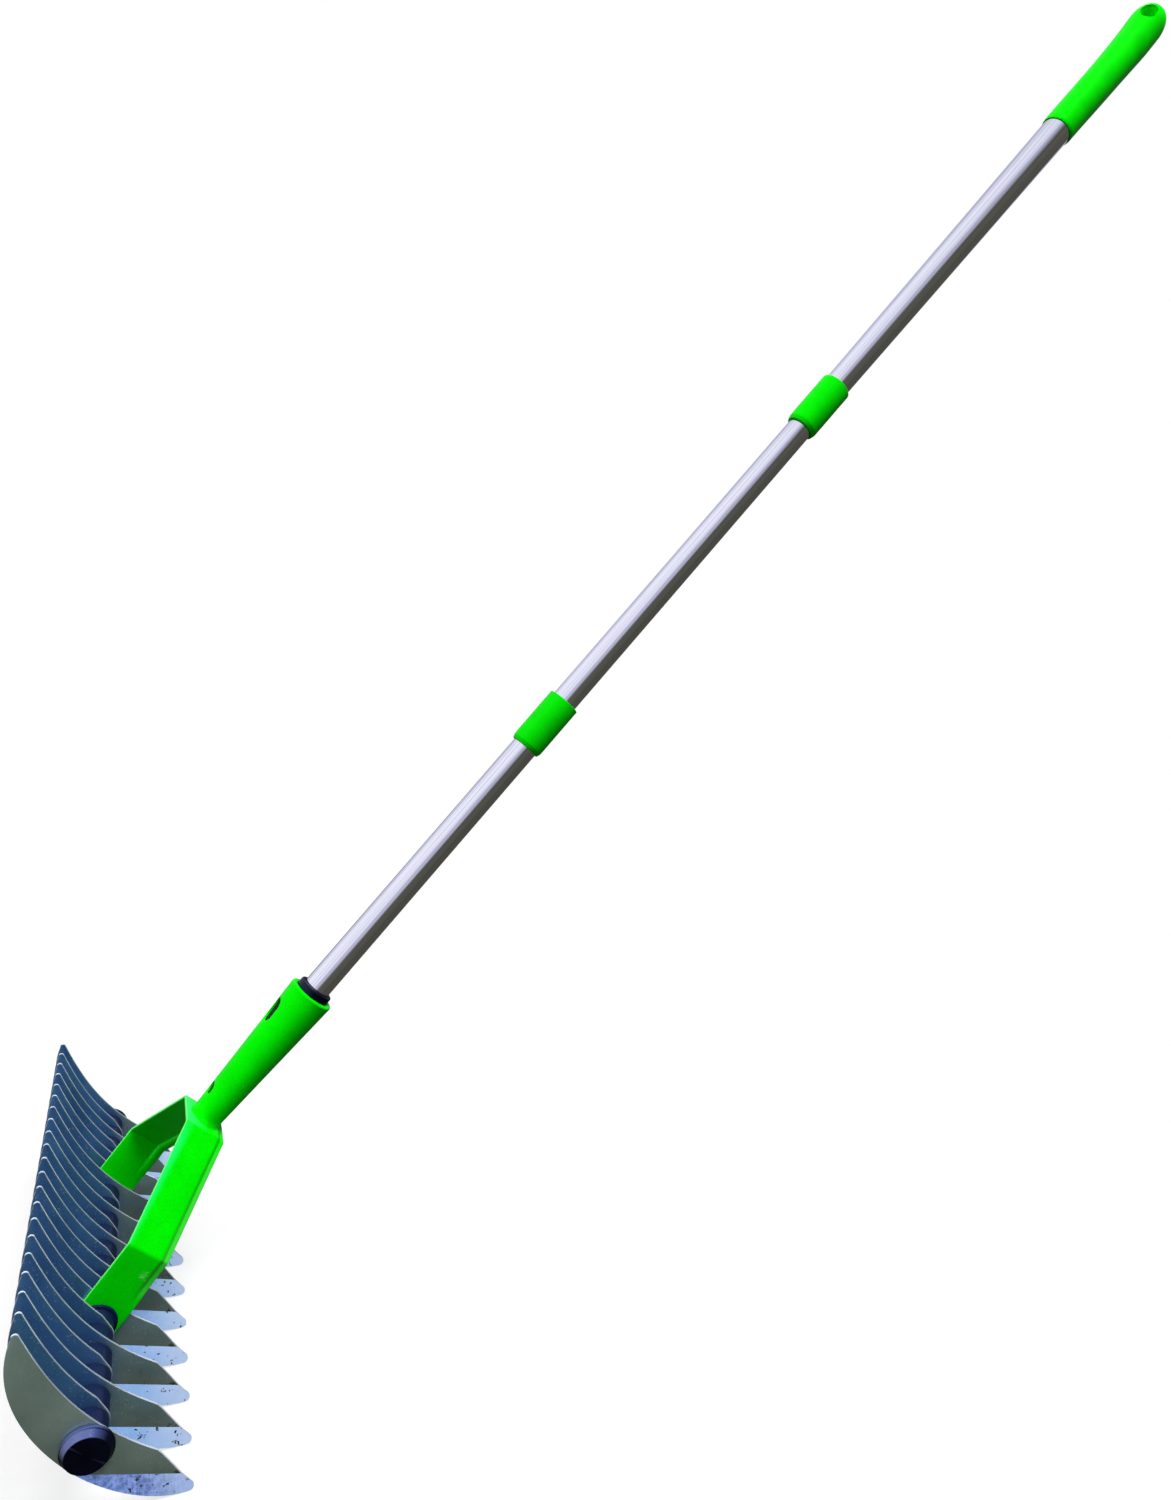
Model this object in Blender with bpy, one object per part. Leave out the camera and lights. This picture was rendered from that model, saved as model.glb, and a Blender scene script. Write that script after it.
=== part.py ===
"""Lawn thatch rake with a three-piece screw-together handle.

A row of crescent blades is threaded on one axle rod and kept apart by black
sleeves.  A stamped yoke straddles the row: its two legs are clamped on the
axle between blades, its arms slope up to a short top plate, and a tapered
socket stands on that plate.  A plastic insert in the socket takes the first of
three steel tubes, which screw together end to end.

World frame, metres, +Z up, in the attitude in which the rake is held to work:
  origin  where the handle's axis meets the underside of the yoke's top plate
  +X      along the axle
  +Y      from the head towards the user, under the handle
Handle frame (x, n, s): s runs up the handle's axis, n square to it on the
lower side, x along the axle.
Sizes are in millimetres; _R is a radius, _T a thickness, _L a length and _W a
width.
"""
import math

import bmesh
import bpy
from mathutils import Matrix, Vector

MM = 0.001

HANDLE_TILT = 45.8           # handle above the horizontal, degrees
GAP = 0.3                    # between neighbouring pieces

# ---- blades
BLADE_PITCH = 19.0           # blade to blade along the axle
BLADE_COUNT = 21             # full crescents and half crescents by turns
BLADE_T = 1.5
BLADE_FACE = BLADE_T / 2 + GAP         # blade's middle to the piece beside it
BORE_R = 5.3                 # hole in blades, sleeves, nuts and yoke legs

# Crescent outline: Bezier control points (y, z) about the axle
BACK = ((-33.0, 87.0), (-59.5, 32.5), (5.5, -56.5), (53.6, -55.2))
HOLLOW = ((-28.5, 87.5), (-16.5, 50.0), (-2.0, 16.0), (39.0, -17.2))
TOE = ((39.0, -17.2), (46.0, -28.5), (50.6, -40.0), (56.2, -47.2))
NOSE = ((56.2, -47.2), (58.2, -49.8), (58.6, -54.9), (53.6, -55.2))
BEVEL_LINE = ((-1.0, -19.9), (51.0, -39.4))      # (y, z) where the ground bevel starts
BEVEL_SLOPE = 0.075          # fall of the bevel per unit of its width
EYE_R = 12.3                 # half crescent's outline about the axle
NECK_BACK = 0.42             # curve parameters where the half crescent's
NECK_HOLLOW = 0.67           # two edges leave for the eye

# ---- axle, sleeves, nuts and caps
ROD_R = 5.0
ROD_CHAMFER = 0.8
ROD_PAST_NUT = 0.8
SLEEVE_R = 11.8
RIM_R = 14.5                 # wide end of the sleeves that press on the legs
RIM_T = 2.5
NUT_CORNER_R = 17.0 / math.sqrt(3)     # from 17 mm across the flats
NUT_T = 5.0
CAP_R = 16.0
CAP_BORE_R = NUT_CORNER_R + 0.5
CAP_FACE_R = 13.0
CAP_L = 7.2
CAP_WALL = 1.0
CAP_RIM_L = 2.2              # full-width rim at the blade
CAP_CHAMFER = 0.5
CAP_RIM_BEVEL = (0.6, 0.8)   # (inwards, along the axle) beyond the rim
CAP_FACE_BEVEL = (0.9, 0.8)  # the same at the flat face
AXLE_SEAT_X = (BLADE_COUNT - 1) / 2 * BLADE_PITCH + BLADE_FACE   # where a nut bears
ALONG_X = (0.0, math.pi / 2, 0.0)      # turns a lathe's axis to +X
AGAINST_X = (0.0, -math.pi / 2, 0.0)

# ---- yoke
YOKE_T = 2.5
AXLE_DROP = 125.0            # plate underside down to the axle, along the handle
AXLE_OFFSET = 7.3            # axle to the lower side of the handle's axis
LEG_BLADE = 4                # each leg stands outside this blade from the middle
LEG_OUTER_X = LEG_BLADE * BLADE_PITCH + BLADE_FACE + YOKE_T
LEG_TOP = -67.0              # s of the outer corner of leg and arm
PLATE_HALF = 19.4            # x of the outer corner of arm and plate
STRIP_UP = 17.5              # strip's centre line to its plain upper edge
STRIP_LOW = 18.7             # and to the edge of its flange, on the plate
LEG_LOW = 21.8               # edge of the flange at the top of a leg
LEG_LEAN = 4.8               # strip centre at the leg's top
LEG_END_R = 17.0
FOOT_ANGLES = (76, 60, 43, 25, 0)      # rings round the leg's end, degrees
LEG_RINGS = ((-106.0, 0.0), (-96.0, 0.25), (-86.0, 0.75), (-77.0, 1.0))  # (s, flange growth)
BEND_R = 4.5                 # outer radius of the strip's bends
BEND_MIN_R = 0.5             # least radius at any depth
BEND_STEPS = 3
FLANGE_W = 4.0               # flange, set back along the lower edge
STEP_W = 2.2                 # width of the step down to it
STEP_D = 2.2                 # and its depth
AXLE_DRILL_HALF = 110.0

# ---- socket
SOCKET_FOOT_R = 12.5
SOCKET_MOUTH_R = 19.0
SOCKET_TOP = 127.5
SOCKET_T = 1.8
SOCKET_STEPS = 5
MOUTH_R = 14.8               # mouth rolled in over the insert's shoulder
MOUTH_ROUND = 1.2            # rounding of the mouth's outer edge
MOUTH_ROUND_MID = (0.35, 0.85)         # its middle point: (inwards, up)
# round-ended holes in the socket's upper side: s of the centre, length, width
SOCKET_HOLES = {"slot_tool": (100.0, 21.0, 12.5), "vent_tool": (24.0, 10.5, 9.0)}
HOLE_TOOL_REACH = (-30.0, -4.0)        # n of the hole tools' ends

# ---- screwed joints
TUBE_R = 11.0
TUBE_T = 0.8
TUBE_CHAMFER = 0.2
TUBE_BORE_R = 11.3           # counterbores that take a tube's end
THREAD_BORE_R = 9.3
THREAD_L = 18.0
THREAD_END_L = 4.0           # plug beyond the thread length
PLUG_R = 9.0                 # screwed part of a plug
PLUG_CHAMFER = 1.5
PLUG_SHOULDER = (0.2, 1.1)   # s at the foot and top of the cone up to the shank
SHANK_R = 9.9                # part of a plug inside its tube
SHANK_L = 24.0
SHANK_BEVEL = (1.5, 2.0)     # (inwards, down) at the shank's top

# ---- socket insert
INSERT_FOOT = 62.0
INSERT_TOP = 133.0
INSERT_RIM_R = 14.4
INSERT_CHAMFER = 0.8
INSERT_SEAT = INSERT_TOP - 31.0        # counterbore's floor, under the lower tube

# ---- collars
COLLAR_R = 13.9
COLLAR_L = 50.0
COLLAR_1 = 388.0             # lower ends of the two collars on the handle
COLLAR_2 = 752.0
MOUTH_L = 12.0               # depth of the upper counterbore
FOOT_L = 20.0                # depth of the lower counterbore
COLLAR_SEAT = COLLAR_L - MOUTH_L
COLLAR_FOOT = ((1.4, 0.0), (0.4, 1.6), (0.0, 4.5))     # (inwards, height) at the foot
COLLAR_TOP_BEVEL = (0.5, 1.2)          # (inwards, down)

# ---- grip and upper tube; lengths from the grip's mouth unless noted
GRIP_FOOT = 1122.0           # s of the mouth
GRIP_END = 1277.0            # s
GRIP_BORE_R = 13.8           # bore that takes the upper tube
GRIP_BORE_END = 1240.0       # s
GRIP_BASE_R = 14.8
GRIP_TAPER = 0.005           # growth of radius per unit of length
SWELL = 0.9                  # further growth towards the upper end
SWELL_SPAN = (70.0, 65.0)    # (start, length)
MOUTH_EASE = 0.5             # mouth drawn in by this
MOUTH_EASE_L = 3.0
HOLLOW_DEPTH = 0.5
HOLLOW_SPAN = (20.0, 110.0)  # (start, length)
TURN_UP = 1.6
TURN_UP_SPAN = (112.0, 42.0)           # (start, length)
GRIP_STATIONS = (0.0, 1.0, 3.0, 20.0, 40.0, 60.0, 80.0, 96.0, 110.0, 124.0)
DOME_FOOT = 136.0
DOME_R_FROM = 134.0          # dome starts from the grip's radius here
DOME_R_EXTRA = 0.1           # and this much more
DOME_RINGS = 8
DOME_DIVISOR = 7.3           # rings per quarter turn; leaves a small flat on top
DOME_POWER = 0.6             # below 1 squares the dome's shoulder
HANG_S = 1260.0
HANG_R = 5.6
HANG_TURN = 40.0             # turn of the hanging hole about the handle, degrees
HANG_DRILL_HALF = 25.0
FLARE_R = 11.4               # upper tube just above its collar
FLARE_L = 6.0                # length in which it widens to that
UPPER_TUBE_R = 13.5          # and where it enters the grip

FINISH = {                   # colour, roughness, metallic
    "green_paint": ((0.008, 0.72, 0.010), 0.38, 0.0),
    "green_plastic": ((0.010, 0.66, 0.012), 0.45, 0.0),
    "black_plastic": ((0.012, 0.012, 0.018), 0.42, 0.0),
    "blade_steel": ((0.62, 0.64, 0.66), 0.20, 1.0),
    "tube_steel": ((0.72, 0.72, 0.75), 0.16, 1.0),
    "zinc_steel": ((0.60, 0.61, 0.62), 0.35, 1.0),
    "grey_plastic": ((0.10, 0.10, 0.11), 0.50, 0.0),
}


# ------------------------------------------------------------------- objects
def clear_scene():
    for item in list(bpy.data.objects):
        bpy.data.objects.remove(item, do_unlink=True)


def finish(name):
    material = bpy.data.materials.get(name) or bpy.data.materials.new(name)
    material.use_nodes = True
    colour, roughness, metallic = FINISH[name]
    shader = material.node_tree.nodes["Principled BSDF"]
    shader.inputs["Base Color"].default_value = (*colour, 1.0)
    shader.inputs["Roughness"].default_value = roughness
    shader.inputs["Metallic"].default_value = metallic
    return material


def place(name, mesh, parent, location=(0, 0, 0), rotation=(0, 0, 0)):
    """Object at a millimetre location; mesh is None for an empty."""
    item = bpy.data.objects.new(name, mesh)
    bpy.context.scene.collection.objects.link(item)
    item.parent = parent
    item.location = [c * MM for c in location]
    item.rotation_euler = rotation
    return item


def empty(name, parent=None, location=(0, 0, 0), rotation=(0, 0, 0)):
    item = place(name, None, parent, location, rotation)
    item.empty_display_size = 0.02
    return item


def add(name, mesh, material, parent, location=(0, 0, 0), rotation=(0, 0, 0), sharp_angle=30):
    """A visible piece; several may share one mesh."""
    item = place(name, mesh, parent, location, rotation)
    if not mesh.materials:
        mesh.materials.append(finish(material))
    mesh.shade_smooth()
    mesh.set_sharp_from_angle(angle=math.radians(sharp_angle))
    return item


def cut(item, mesh, parent, location=(0, 0, 0), rotation=(0, 0, 0)):
    """Subtract a hidden tool, named after its mesh, from a piece."""
    tool = place(mesh.name, mesh, parent, location, rotation)
    tool.hide_render = True
    tool.display_type = "WIRE"
    modifier = item.modifiers.new("cut_" + tool.name, "BOOLEAN")
    modifier.operation = "DIFFERENCE"
    modifier.solver = "EXACT"
    modifier.object = tool


# -------------------------------------------------------------------- meshes
def to_mesh(name, shape):
    mesh = bpy.data.meshes.new(name)
    shape.to_mesh(mesh)
    shape.free()
    return mesh


def mesh_from(name, verts, faces):
    """A closed mesh from millimetre points, normals turned outwards."""
    mesh = bpy.data.meshes.new(name)
    mesh.from_pydata([Vector(v) * MM for v in verts], [], faces)
    shape = bmesh.new()
    shape.from_mesh(mesh)
    bmesh.ops.remove_doubles(shape, verts=shape.verts, dist=1e-6)
    bmesh.ops.recalc_face_normals(shape, faces=shape.faces)
    shape.to_mesh(mesh)
    shape.free()
    return mesh


def lathe(name, profile, steps, closed=True, shifts=None):
    """Turn a (radius, height) profile about local z.

    An open profile has its two ends closed by flat discs.  shifts moves each
    profile point's circle along local y.
    """
    count = len(profile)
    shifts = shifts or [0.0] * count
    verts, faces = [], []
    for k in range(steps):
        angle = 2 * math.pi * k / steps
        verts += [(radius * math.cos(angle), radius * math.sin(angle) + shift, height)
                  for (radius, height), shift in zip(profile, shifts)]
    for k in range(steps):
        here, there = k * count, (k + 1) % steps * count
        for i in range(count if closed else count - 1):
            j = (i + 1) % count
            faces.append((here + i, there + i, there + j, here + j))
    if not closed:
        faces.append(tuple(k * count for k in range(steps)))
        faces.append(tuple(k * count + count - 1 for k in reversed(range(steps))))
    return mesh_from(name, verts, faces)


def loft(name, rings):
    """Skin a row of equal rings of points and close both ends."""
    count = len(rings[0])
    verts = [point for ring in rings for point in ring]
    faces = []
    for start in range(0, len(verts) - count, count):
        for i in range(count):
            j = (i + 1) % count
            faces.append((start + i, start + j, start + count + j, start + count + i))
    faces.append(tuple(range(count)))
    faces.append(tuple(reversed(range(len(verts) - count, len(verts)))))
    return mesh_from(name, verts, faces)


def drill_mesh(name, radius, half_length):
    return lathe(name, [(radius, -half_length), (radius, half_length)], 20, closed=False)


def pierced_plate(outline, bore_steps, to_space, travel):
    """Flat outline with the axle bore, extruded along travel, as a bmesh.
    to_space turns an outline point into a point in space."""
    shape = bmesh.new()
    edges = []
    for loop in (outline, arc((0, 0), BORE_R, 0, 2 * math.pi, bore_steps)[:-1]):
        verts = [shape.verts.new([c * MM for c in to_space(*point)]) for point in loop]
        edges += [shape.edges.new((verts[i], verts[(i + 1) % len(verts)]))
                  for i in range(len(verts))]
    bmesh.ops.triangle_fill(shape, use_beauty=True, use_dissolve=False, edges=edges)
    grown = bmesh.ops.extrude_face_region(shape, geom=list(shape.faces))
    far = [v for v in grown["geom"] if isinstance(v, bmesh.types.BMVert)]
    bmesh.ops.translate(shape, vec=[c * MM for c in travel], verts=far)
    bmesh.ops.recalc_face_normals(shape, faces=shape.faces)
    return shape


# -------------------------------------------------------------------- curves
def bezier(controls, t):
    u = 1.0 - t
    weights = (u ** 3, 3 * u * u * t, 3 * u * t * t, t ** 3)
    return tuple(sum(weights[i] * controls[i][axis] for i in range(4)) for axis in range(2))


def sample(controls, steps, start=0.0, end=1.0):
    return [bezier(controls, start + (end - start) * k / steps) for k in range(steps + 1)]


def arc(centre, radius, start, end, steps):
    angles = [start + (end - start) * k / steps for k in range(steps + 1)]
    return [(centre[0] + radius * math.cos(a), centre[1] + radius * math.sin(a)) for a in angles]


def ramp(value, start, length):
    """0 up to start, then rising evenly to 1 over length."""
    return min(1.0, max(0.0, (value - start) / length))


# -------------------------------------------------------------------- blades
def heel_tip():
    """Round end joining the hollow edge to the back at the upper tip."""
    first, last = HOLLOW[0], BACK[0]
    centre = ((first[0] + last[0]) / 2, (first[1] + last[1]) / 2)
    start = math.atan2(first[1] - centre[1], first[0] - centre[0])
    return arc(centre, math.dist(first, last) / 2, start, start + math.pi, 4)[1:-1]


def full_outline():
    """Down the back, round the nose and up the hollow edge."""
    points = sample(BACK, 20)
    for controls, steps in ((NOSE, 5), (TOE, 5), (HOLLOW, 12)):
        points += sample(controls, steps)[::-1][1:]
    return points + heel_tip()


def touch(point, sign):
    """Angle at which the line from the point touches the eye's circle."""
    return math.atan2(point[1], point[0]) + sign * math.acos(EYE_R / math.hypot(*point))


def half_outline():
    """Upper half of the crescent, drawn in to a small eye about the axle."""
    start = touch(bezier(BACK, NECK_BACK), 1)
    end = touch(bezier(HOLLOW, NECK_HOLLOW), -1)
    while end < start:
        end += 2 * math.pi
    points = sample(BACK, 10, 0.0, NECK_BACK)
    points += arc((0, 0), EYE_R, start, end, 12)
    points += sample(HOLLOW, 7, 0.0, NECK_HOLLOW)[::-1]
    return points + heel_tip()


def grind_bevel(shape):
    """Slice the +X face away below the bevel line."""
    (y0, z0), (y1, z1) = BEVEL_LINE
    length = math.dist(*BEVEL_LINE)
    across = ((z1 - z0) / length, -(y1 - y0) / length)
    normal = Vector((1.0, BEVEL_SLOPE * across[0], BEVEL_SLOPE * across[1])).normalized()
    bmesh.ops.bisect_plane(
        shape, geom=list(shape.verts) + list(shape.edges) + list(shape.faces), dist=1e-7,
        plane_co=(BLADE_T / 2 * MM, y0 * MM, z0 * MM), plane_no=normal, clear_outer=True)
    rim = [edge for edge in shape.edges if edge.is_boundary]
    bmesh.ops.holes_fill(shape, edges=rim, sides=0)
    bmesh.ops.triangulate(shape, faces=[face for face in shape.faces if len(face.verts) > 4])
    bmesh.ops.recalc_face_normals(shape, faces=shape.faces)


def blade_shape(outline):
    return pierced_plate(outline, 16, lambda y, z: (-BLADE_T / 2, y, z), (BLADE_T, 0, 0))


def build_blades(axle):
    ground = blade_shape(full_outline())
    grind_bevel(ground)
    full = to_mesh("blade_full", ground)
    half = to_mesh("blade_half", blade_shape(half_outline()))
    for i in range(BLADE_COUNT):
        mesh = half if i % 2 else full
        x = (i - (BLADE_COUNT - 1) / 2) * BLADE_PITCH
        add("%s_%02d" % (mesh.name, i // 2 + 1), mesh, "blade_steel", axle, (x, 0, 0))


# ----------------------------------------------------------- axle and sleeves
def sleeve_mesh(name, length, rimmed):
    profile = [(BORE_R, 0), (BORE_R, length), (SLEEVE_R, length)]
    if rimmed:                           # rim at the foot, against the leg
        profile += [(SLEEVE_R, RIM_T), (RIM_R, RIM_T), (RIM_R, 0)]
    else:
        profile += [(SLEEVE_R, 0)]
    return lathe(name, profile, 20)


def build_sleeves(axle):
    """One sleeve between each two blades, shorter where a leg shares the space."""
    length = BLADE_PITCH - 2 * BLADE_FACE
    plain = sleeve_mesh("sleeve", length, False)
    short = sleeve_mesh("sleeve_short", length - YOKE_T - GAP, True)
    leg_face = LEG_OUTER_X + GAP
    number = 0
    for i in range(BLADE_COUNT - 1):
        blade = i - (BLADE_COUNT - 1) // 2       # from the middle, on the sleeve's -X side
        if blade == LEG_BLADE:
            add("leg_sleeve_right", short, "black_plastic", axle, (leg_face, 0, 0), ALONG_X)
        elif blade == -LEG_BLADE - 1:
            add("leg_sleeve_left", short, "black_plastic", axle, (-leg_face, 0, 0), AGAINST_X)
        else:
            number += 1
            add("sleeve_%02d" % number, plain, "black_plastic", axle,
                (blade * BLADE_PITCH + BLADE_FACE, 0, 0), ALONG_X)


def build_rod(axle):
    half = AXLE_SEAT_X + NUT_T + ROD_PAST_NUT
    profile = [(ROD_R - ROD_CHAMFER, -half), (ROD_R, -half + ROD_CHAMFER),
               (ROD_R, half - ROD_CHAMFER), (ROD_R - ROD_CHAMFER, half)]
    rod = lathe("axle_rod", profile, 20, closed=False)
    add("axle_rod", rod, "zinc_steel", axle, rotation=ALONG_X)


def nut_mesh():
    """Hexagon with a round bore, standing on z = 0."""
    hexagon = [(NUT_CORNER_R * math.cos(math.pi / 3 * k), NUT_CORNER_R * math.sin(math.pi / 3 * k))
               for k in range(6)]
    return to_mesh("nut", pierced_plate(hexagon, 18, lambda x, y: (x, y, 0), (0, 0, NUT_T)))


def cap_mesh():
    """Blind cap over the nut: wide rim at the blade, smaller flat face."""
    rim_in, rim_along = CAP_RIM_BEVEL
    face_in, face_along = CAP_FACE_BEVEL
    return lathe("end_cap", [
        (CAP_BORE_R, CAP_L - CAP_WALL), (CAP_BORE_R, 0.0),
        (CAP_R - CAP_CHAMFER, 0.0), (CAP_R, CAP_CHAMFER),
        (CAP_R, CAP_RIM_L), (CAP_R - rim_in, CAP_RIM_L + rim_along),
        (CAP_FACE_R + face_in, CAP_L - face_along), (CAP_FACE_R, CAP_L)], 32, closed=False)


def build_axle_ends(axle):
    nut = nut_mesh()
    cap = cap_mesh()
    for side, x, turn in (("left", -AXLE_SEAT_X, AGAINST_X), ("right", AXLE_SEAT_X, ALONG_X)):
        add("nut_" + side, nut, "zinc_steel", axle, (x, 0, 0), turn)
        add("end_cap_" + side, cap, "black_plastic", axle, (x, 0, 0), turn)


# ---------------------------------------------------------------------- yoke
def strip_section(n_up, n_low, growth):
    """Strip's cross-section as (n, depth) points.  Depth 0 is the outer face.
    The lower edge steps back to a flange, by as much as it has grown."""
    step = STEP_D * growth
    step_end = n_low - FLANGE_W
    step_start = step_end - STEP_W
    mitre = YOKE_T * math.tan(math.atan2(step, STEP_W) / 2)
    outer = [(n_up, 0.0), (step_start, 0.0), (step_end, step), (n_low, step)]
    inner = [(n_up, YOKE_T), (step_start - mitre, YOKE_T), (step_end - mitre, step + YOKE_T),
             (n_low, step + YOKE_T)]
    return outer + inner[::-1]


def on_leg(s):
    return lambda depth: Vector((LEG_OUTER_X - depth, s))


def on_bend(corner, before, after, k):
    """Point k of the rounded corner, on the curve offset inwards by a depth.
    Travel runs before and after it, with the inner side on its left in (x, s)."""
    half = before.angle(after) / 2
    inward = Vector((-before.y, before.x))
    bisector = (inward + Vector((-after.y, after.x))).normalized()
    turn = Matrix.Rotation(-half + 2 * half * k / BEND_STEPS, 2)

    def point(depth):
        radius = max(BEND_R - depth, BEND_MIN_R)
        offset_corner = corner + bisector * (depth / bisector.dot(inward))
        centre = offset_corner + bisector * (radius / math.cos(half))
        return centre + (turn @ -bisector) * radius
    return point


def yoke_stations():
    """From the +X leg's foot to the plate: (depth -> (x, s), cross-section)."""
    stations = []
    flat = strip_section(-LEG_END_R, LEG_END_R, 0.0)
    for angle in FOOT_ANGLES:            # rounded foot about the axle
        turn = math.radians(angle)
        section = [(AXLE_OFFSET + n * math.cos(turn), depth) for n, depth in flat]
        stations.append((on_leg(-AXLE_DROP - LEG_END_R * math.sin(turn)), section))

    foot_low = AXLE_OFFSET + LEG_END_R
    for s, growth in LEG_RINGS:          # leg, its flange growing near its top
        rise = (s + AXLE_DROP) / (LEG_TOP + AXLE_DROP)
        centre = AXLE_OFFSET + (LEG_LEAN - AXLE_OFFSET) * rise
        up_width = LEG_END_R + (STRIP_UP - LEG_END_R) * rise
        n_low = foot_low + (LEG_LOW - foot_low) * rise
        stations.append((on_leg(s), strip_section(centre - up_width, n_low, growth)))

    leg_corner = Vector((LEG_OUTER_X, LEG_TOP))
    plate_corner = Vector((PLATE_HALF, YOKE_T))
    up = Vector((0.0, 1.0))
    arm = (plate_corner - leg_corner).normalized()
    to_middle = Vector((-1.0, 0.0))
    for corner, before, after, n_up, n_low in (
            (leg_corner, up, arm, LEG_LEAN - STRIP_UP, LEG_LOW),
            (plate_corner, arm, to_middle, -STRIP_UP, STRIP_LOW)):
        section = strip_section(n_up, n_low, 1.0)
        stations += [(on_bend(corner, before, after, k), section)
                     for k in range(BEND_STEPS + 1)]
    return stations


def yoke_mesh():
    """Strip swept from one leg's foot over the plate to the other's."""
    rings = [[(point(depth).x, n, point(depth).y) for n, depth in section]
             for point, section in yoke_stations()]
    mirrored = [[(-x, n, s) for x, n, s in ring] for ring in reversed(rings)]
    return loft("yoke", rings + mirrored)


def build_yoke(handle, axle):
    yoke = add("yoke", yoke_mesh(), "green_paint", handle)
    cut(yoke, drill_mesh("axle_drill", BORE_R, AXLE_DRILL_HALF), axle, rotation=ALONG_X)


# -------------------------------------------------------- socket and insert
def socket_r(s):
    rise = SOCKET_MOUTH_R - SOCKET_FOOT_R
    return SOCKET_FOOT_R + rise * (s - YOKE_T) / (SOCKET_TOP - YOKE_T)


def socket_side(top, inset):
    """Points up the socket's cone from its foot to top, moved inwards by inset."""
    foot = YOKE_T + GAP
    heights = [foot + (top - foot) * k / SOCKET_STEPS for k in range(SOCKET_STEPS + 1)]
    return [(socket_r(s) - inset, s) for s in heights]


def hole_tool(name, length, width):
    """Round-ended bar on the upper side of the handle, square to its axis."""
    radius = width / 2
    centre = length / 2 - radius
    outline = arc((0, centre), radius, 0, math.pi, 6)
    outline += arc((0, -centre), radius, math.pi, 2 * math.pi, 6)
    return loft(name, [[(x, n, s) for x, s in outline] for n in HOLE_TOOL_REACH])


def build_socket(handle):
    lip = SOCKET_TOP - MOUTH_ROUND
    mid_in, mid_up = MOUTH_ROUND_MID
    profile = socket_side(lip, 0.0)
    profile += [(socket_r(lip) - mid_in, lip + mid_up), (socket_r(lip) - MOUTH_ROUND, SOCKET_TOP),
                (MOUTH_R, SOCKET_TOP), (MOUTH_R, SOCKET_TOP - SOCKET_T)]
    profile += socket_side(SOCKET_TOP - SOCKET_T, SOCKET_T)[::-1]
    socket = add("socket", lathe("socket", profile, 32), "green_paint", handle)
    for name, (s, length, width) in SOCKET_HOLES.items():
        cut(socket, hole_tool(name, length, width), handle, (0, 0, s))


def build_insert(handle):
    clear = SOCKET_T + GAP
    shoulder = SOCKET_TOP - clear
    profile = [
        (THREAD_BORE_R, INSERT_FOOT), (socket_r(INSERT_FOOT) - clear, INSERT_FOOT),
        (socket_r(shoulder) - clear, shoulder), (INSERT_RIM_R, shoulder),
        (INSERT_RIM_R, INSERT_TOP - INSERT_CHAMFER), (INSERT_RIM_R - INSERT_CHAMFER, INSERT_TOP),
        (TUBE_BORE_R, INSERT_TOP), (TUBE_BORE_R, INSERT_SEAT), (THREAD_BORE_R, INSERT_SEAT),
        (THREAD_BORE_R, INSERT_SEAT - THREAD_L - THREAD_END_L)]
    add("socket_insert", lathe("socket_insert", profile, 32), "black_plastic", handle)


# -------------------------------------------------------------------- handle
def tube_mesh(name, wall):
    """Tube from its outer wall's (radius, s) points, chamfered at both ends."""
    (foot_r, foot), (top_r, top) = wall[0], wall[-1]
    outer = [(foot_r - TUBE_CHAMFER, foot), (foot_r, foot + TUBE_CHAMFER)]
    outer += wall[1:-1]
    outer += [(top_r, top - TUBE_CHAMFER), (top_r - TUBE_CHAMFER, top)]
    return lathe(name, outer + [(radius - TUBE_T, s) for radius, s in reversed(wall)], 32)


def straight_wall(length):
    return [(TUBE_R, 0.0), (TUBE_R, length)]


def flared_wall(length):
    """Upper tube's wall, widening from the collar's mouth up to the grip."""
    grip_mouth = GRIP_FOOT - COLLAR_2 - COLLAR_SEAT
    return [(TUBE_R, 0.0), (TUBE_R, MOUTH_L), (FLARE_R, MOUTH_L + FLARE_L),
            (UPPER_TUBE_R, grip_mouth), (UPPER_TUBE_R, length)]


def plug_mesh():
    """Threaded plug, z = 0 at the tube's end: screw below, shank above."""
    foot = -THREAD_L - THREAD_END_L
    bevel_in, bevel_down = SHANK_BEVEL
    return lathe("plug", [
        (PLUG_R - PLUG_CHAMFER, foot), (PLUG_R, foot + PLUG_CHAMFER),
        (PLUG_R, PLUG_SHOULDER[0]), (SHANK_R, PLUG_SHOULDER[1]),
        (SHANK_R, SHANK_L - bevel_down), (SHANK_R - bevel_in, SHANK_L)], 24, closed=False)


def collar_mesh():
    """Moulded coupler, z = 0 at its lower end.  The lower tube is bonded in
    its foot and the next section's plug screws in from above."""
    bevel_in, bevel_down = COLLAR_TOP_BEVEL
    profile = [(TUBE_BORE_R, 0.0)]
    profile += [(COLLAR_R - inset, height) for inset, height in COLLAR_FOOT]
    profile += [
        (COLLAR_R, COLLAR_L - bevel_down), (COLLAR_R - bevel_in, COLLAR_L),
        (TUBE_BORE_R, COLLAR_L), (TUBE_BORE_R, COLLAR_SEAT), (THREAD_BORE_R, COLLAR_SEAT),
        (THREAD_BORE_R, FOOT_L), (TUBE_BORE_R, FOOT_L)]
    return lathe("collar", profile, 32)


def grip_radius(s):
    """Radius of the grip against distance from its mouth."""
    swell = 0.5 - 0.5 * math.cos(math.pi * ramp(s, *SWELL_SPAN))
    mouth = (1.0 - ramp(s, 0.0, MOUTH_EASE_L)) ** 2
    return GRIP_BASE_R + GRIP_TAPER * s + SWELL * swell - MOUTH_EASE * mouth


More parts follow.
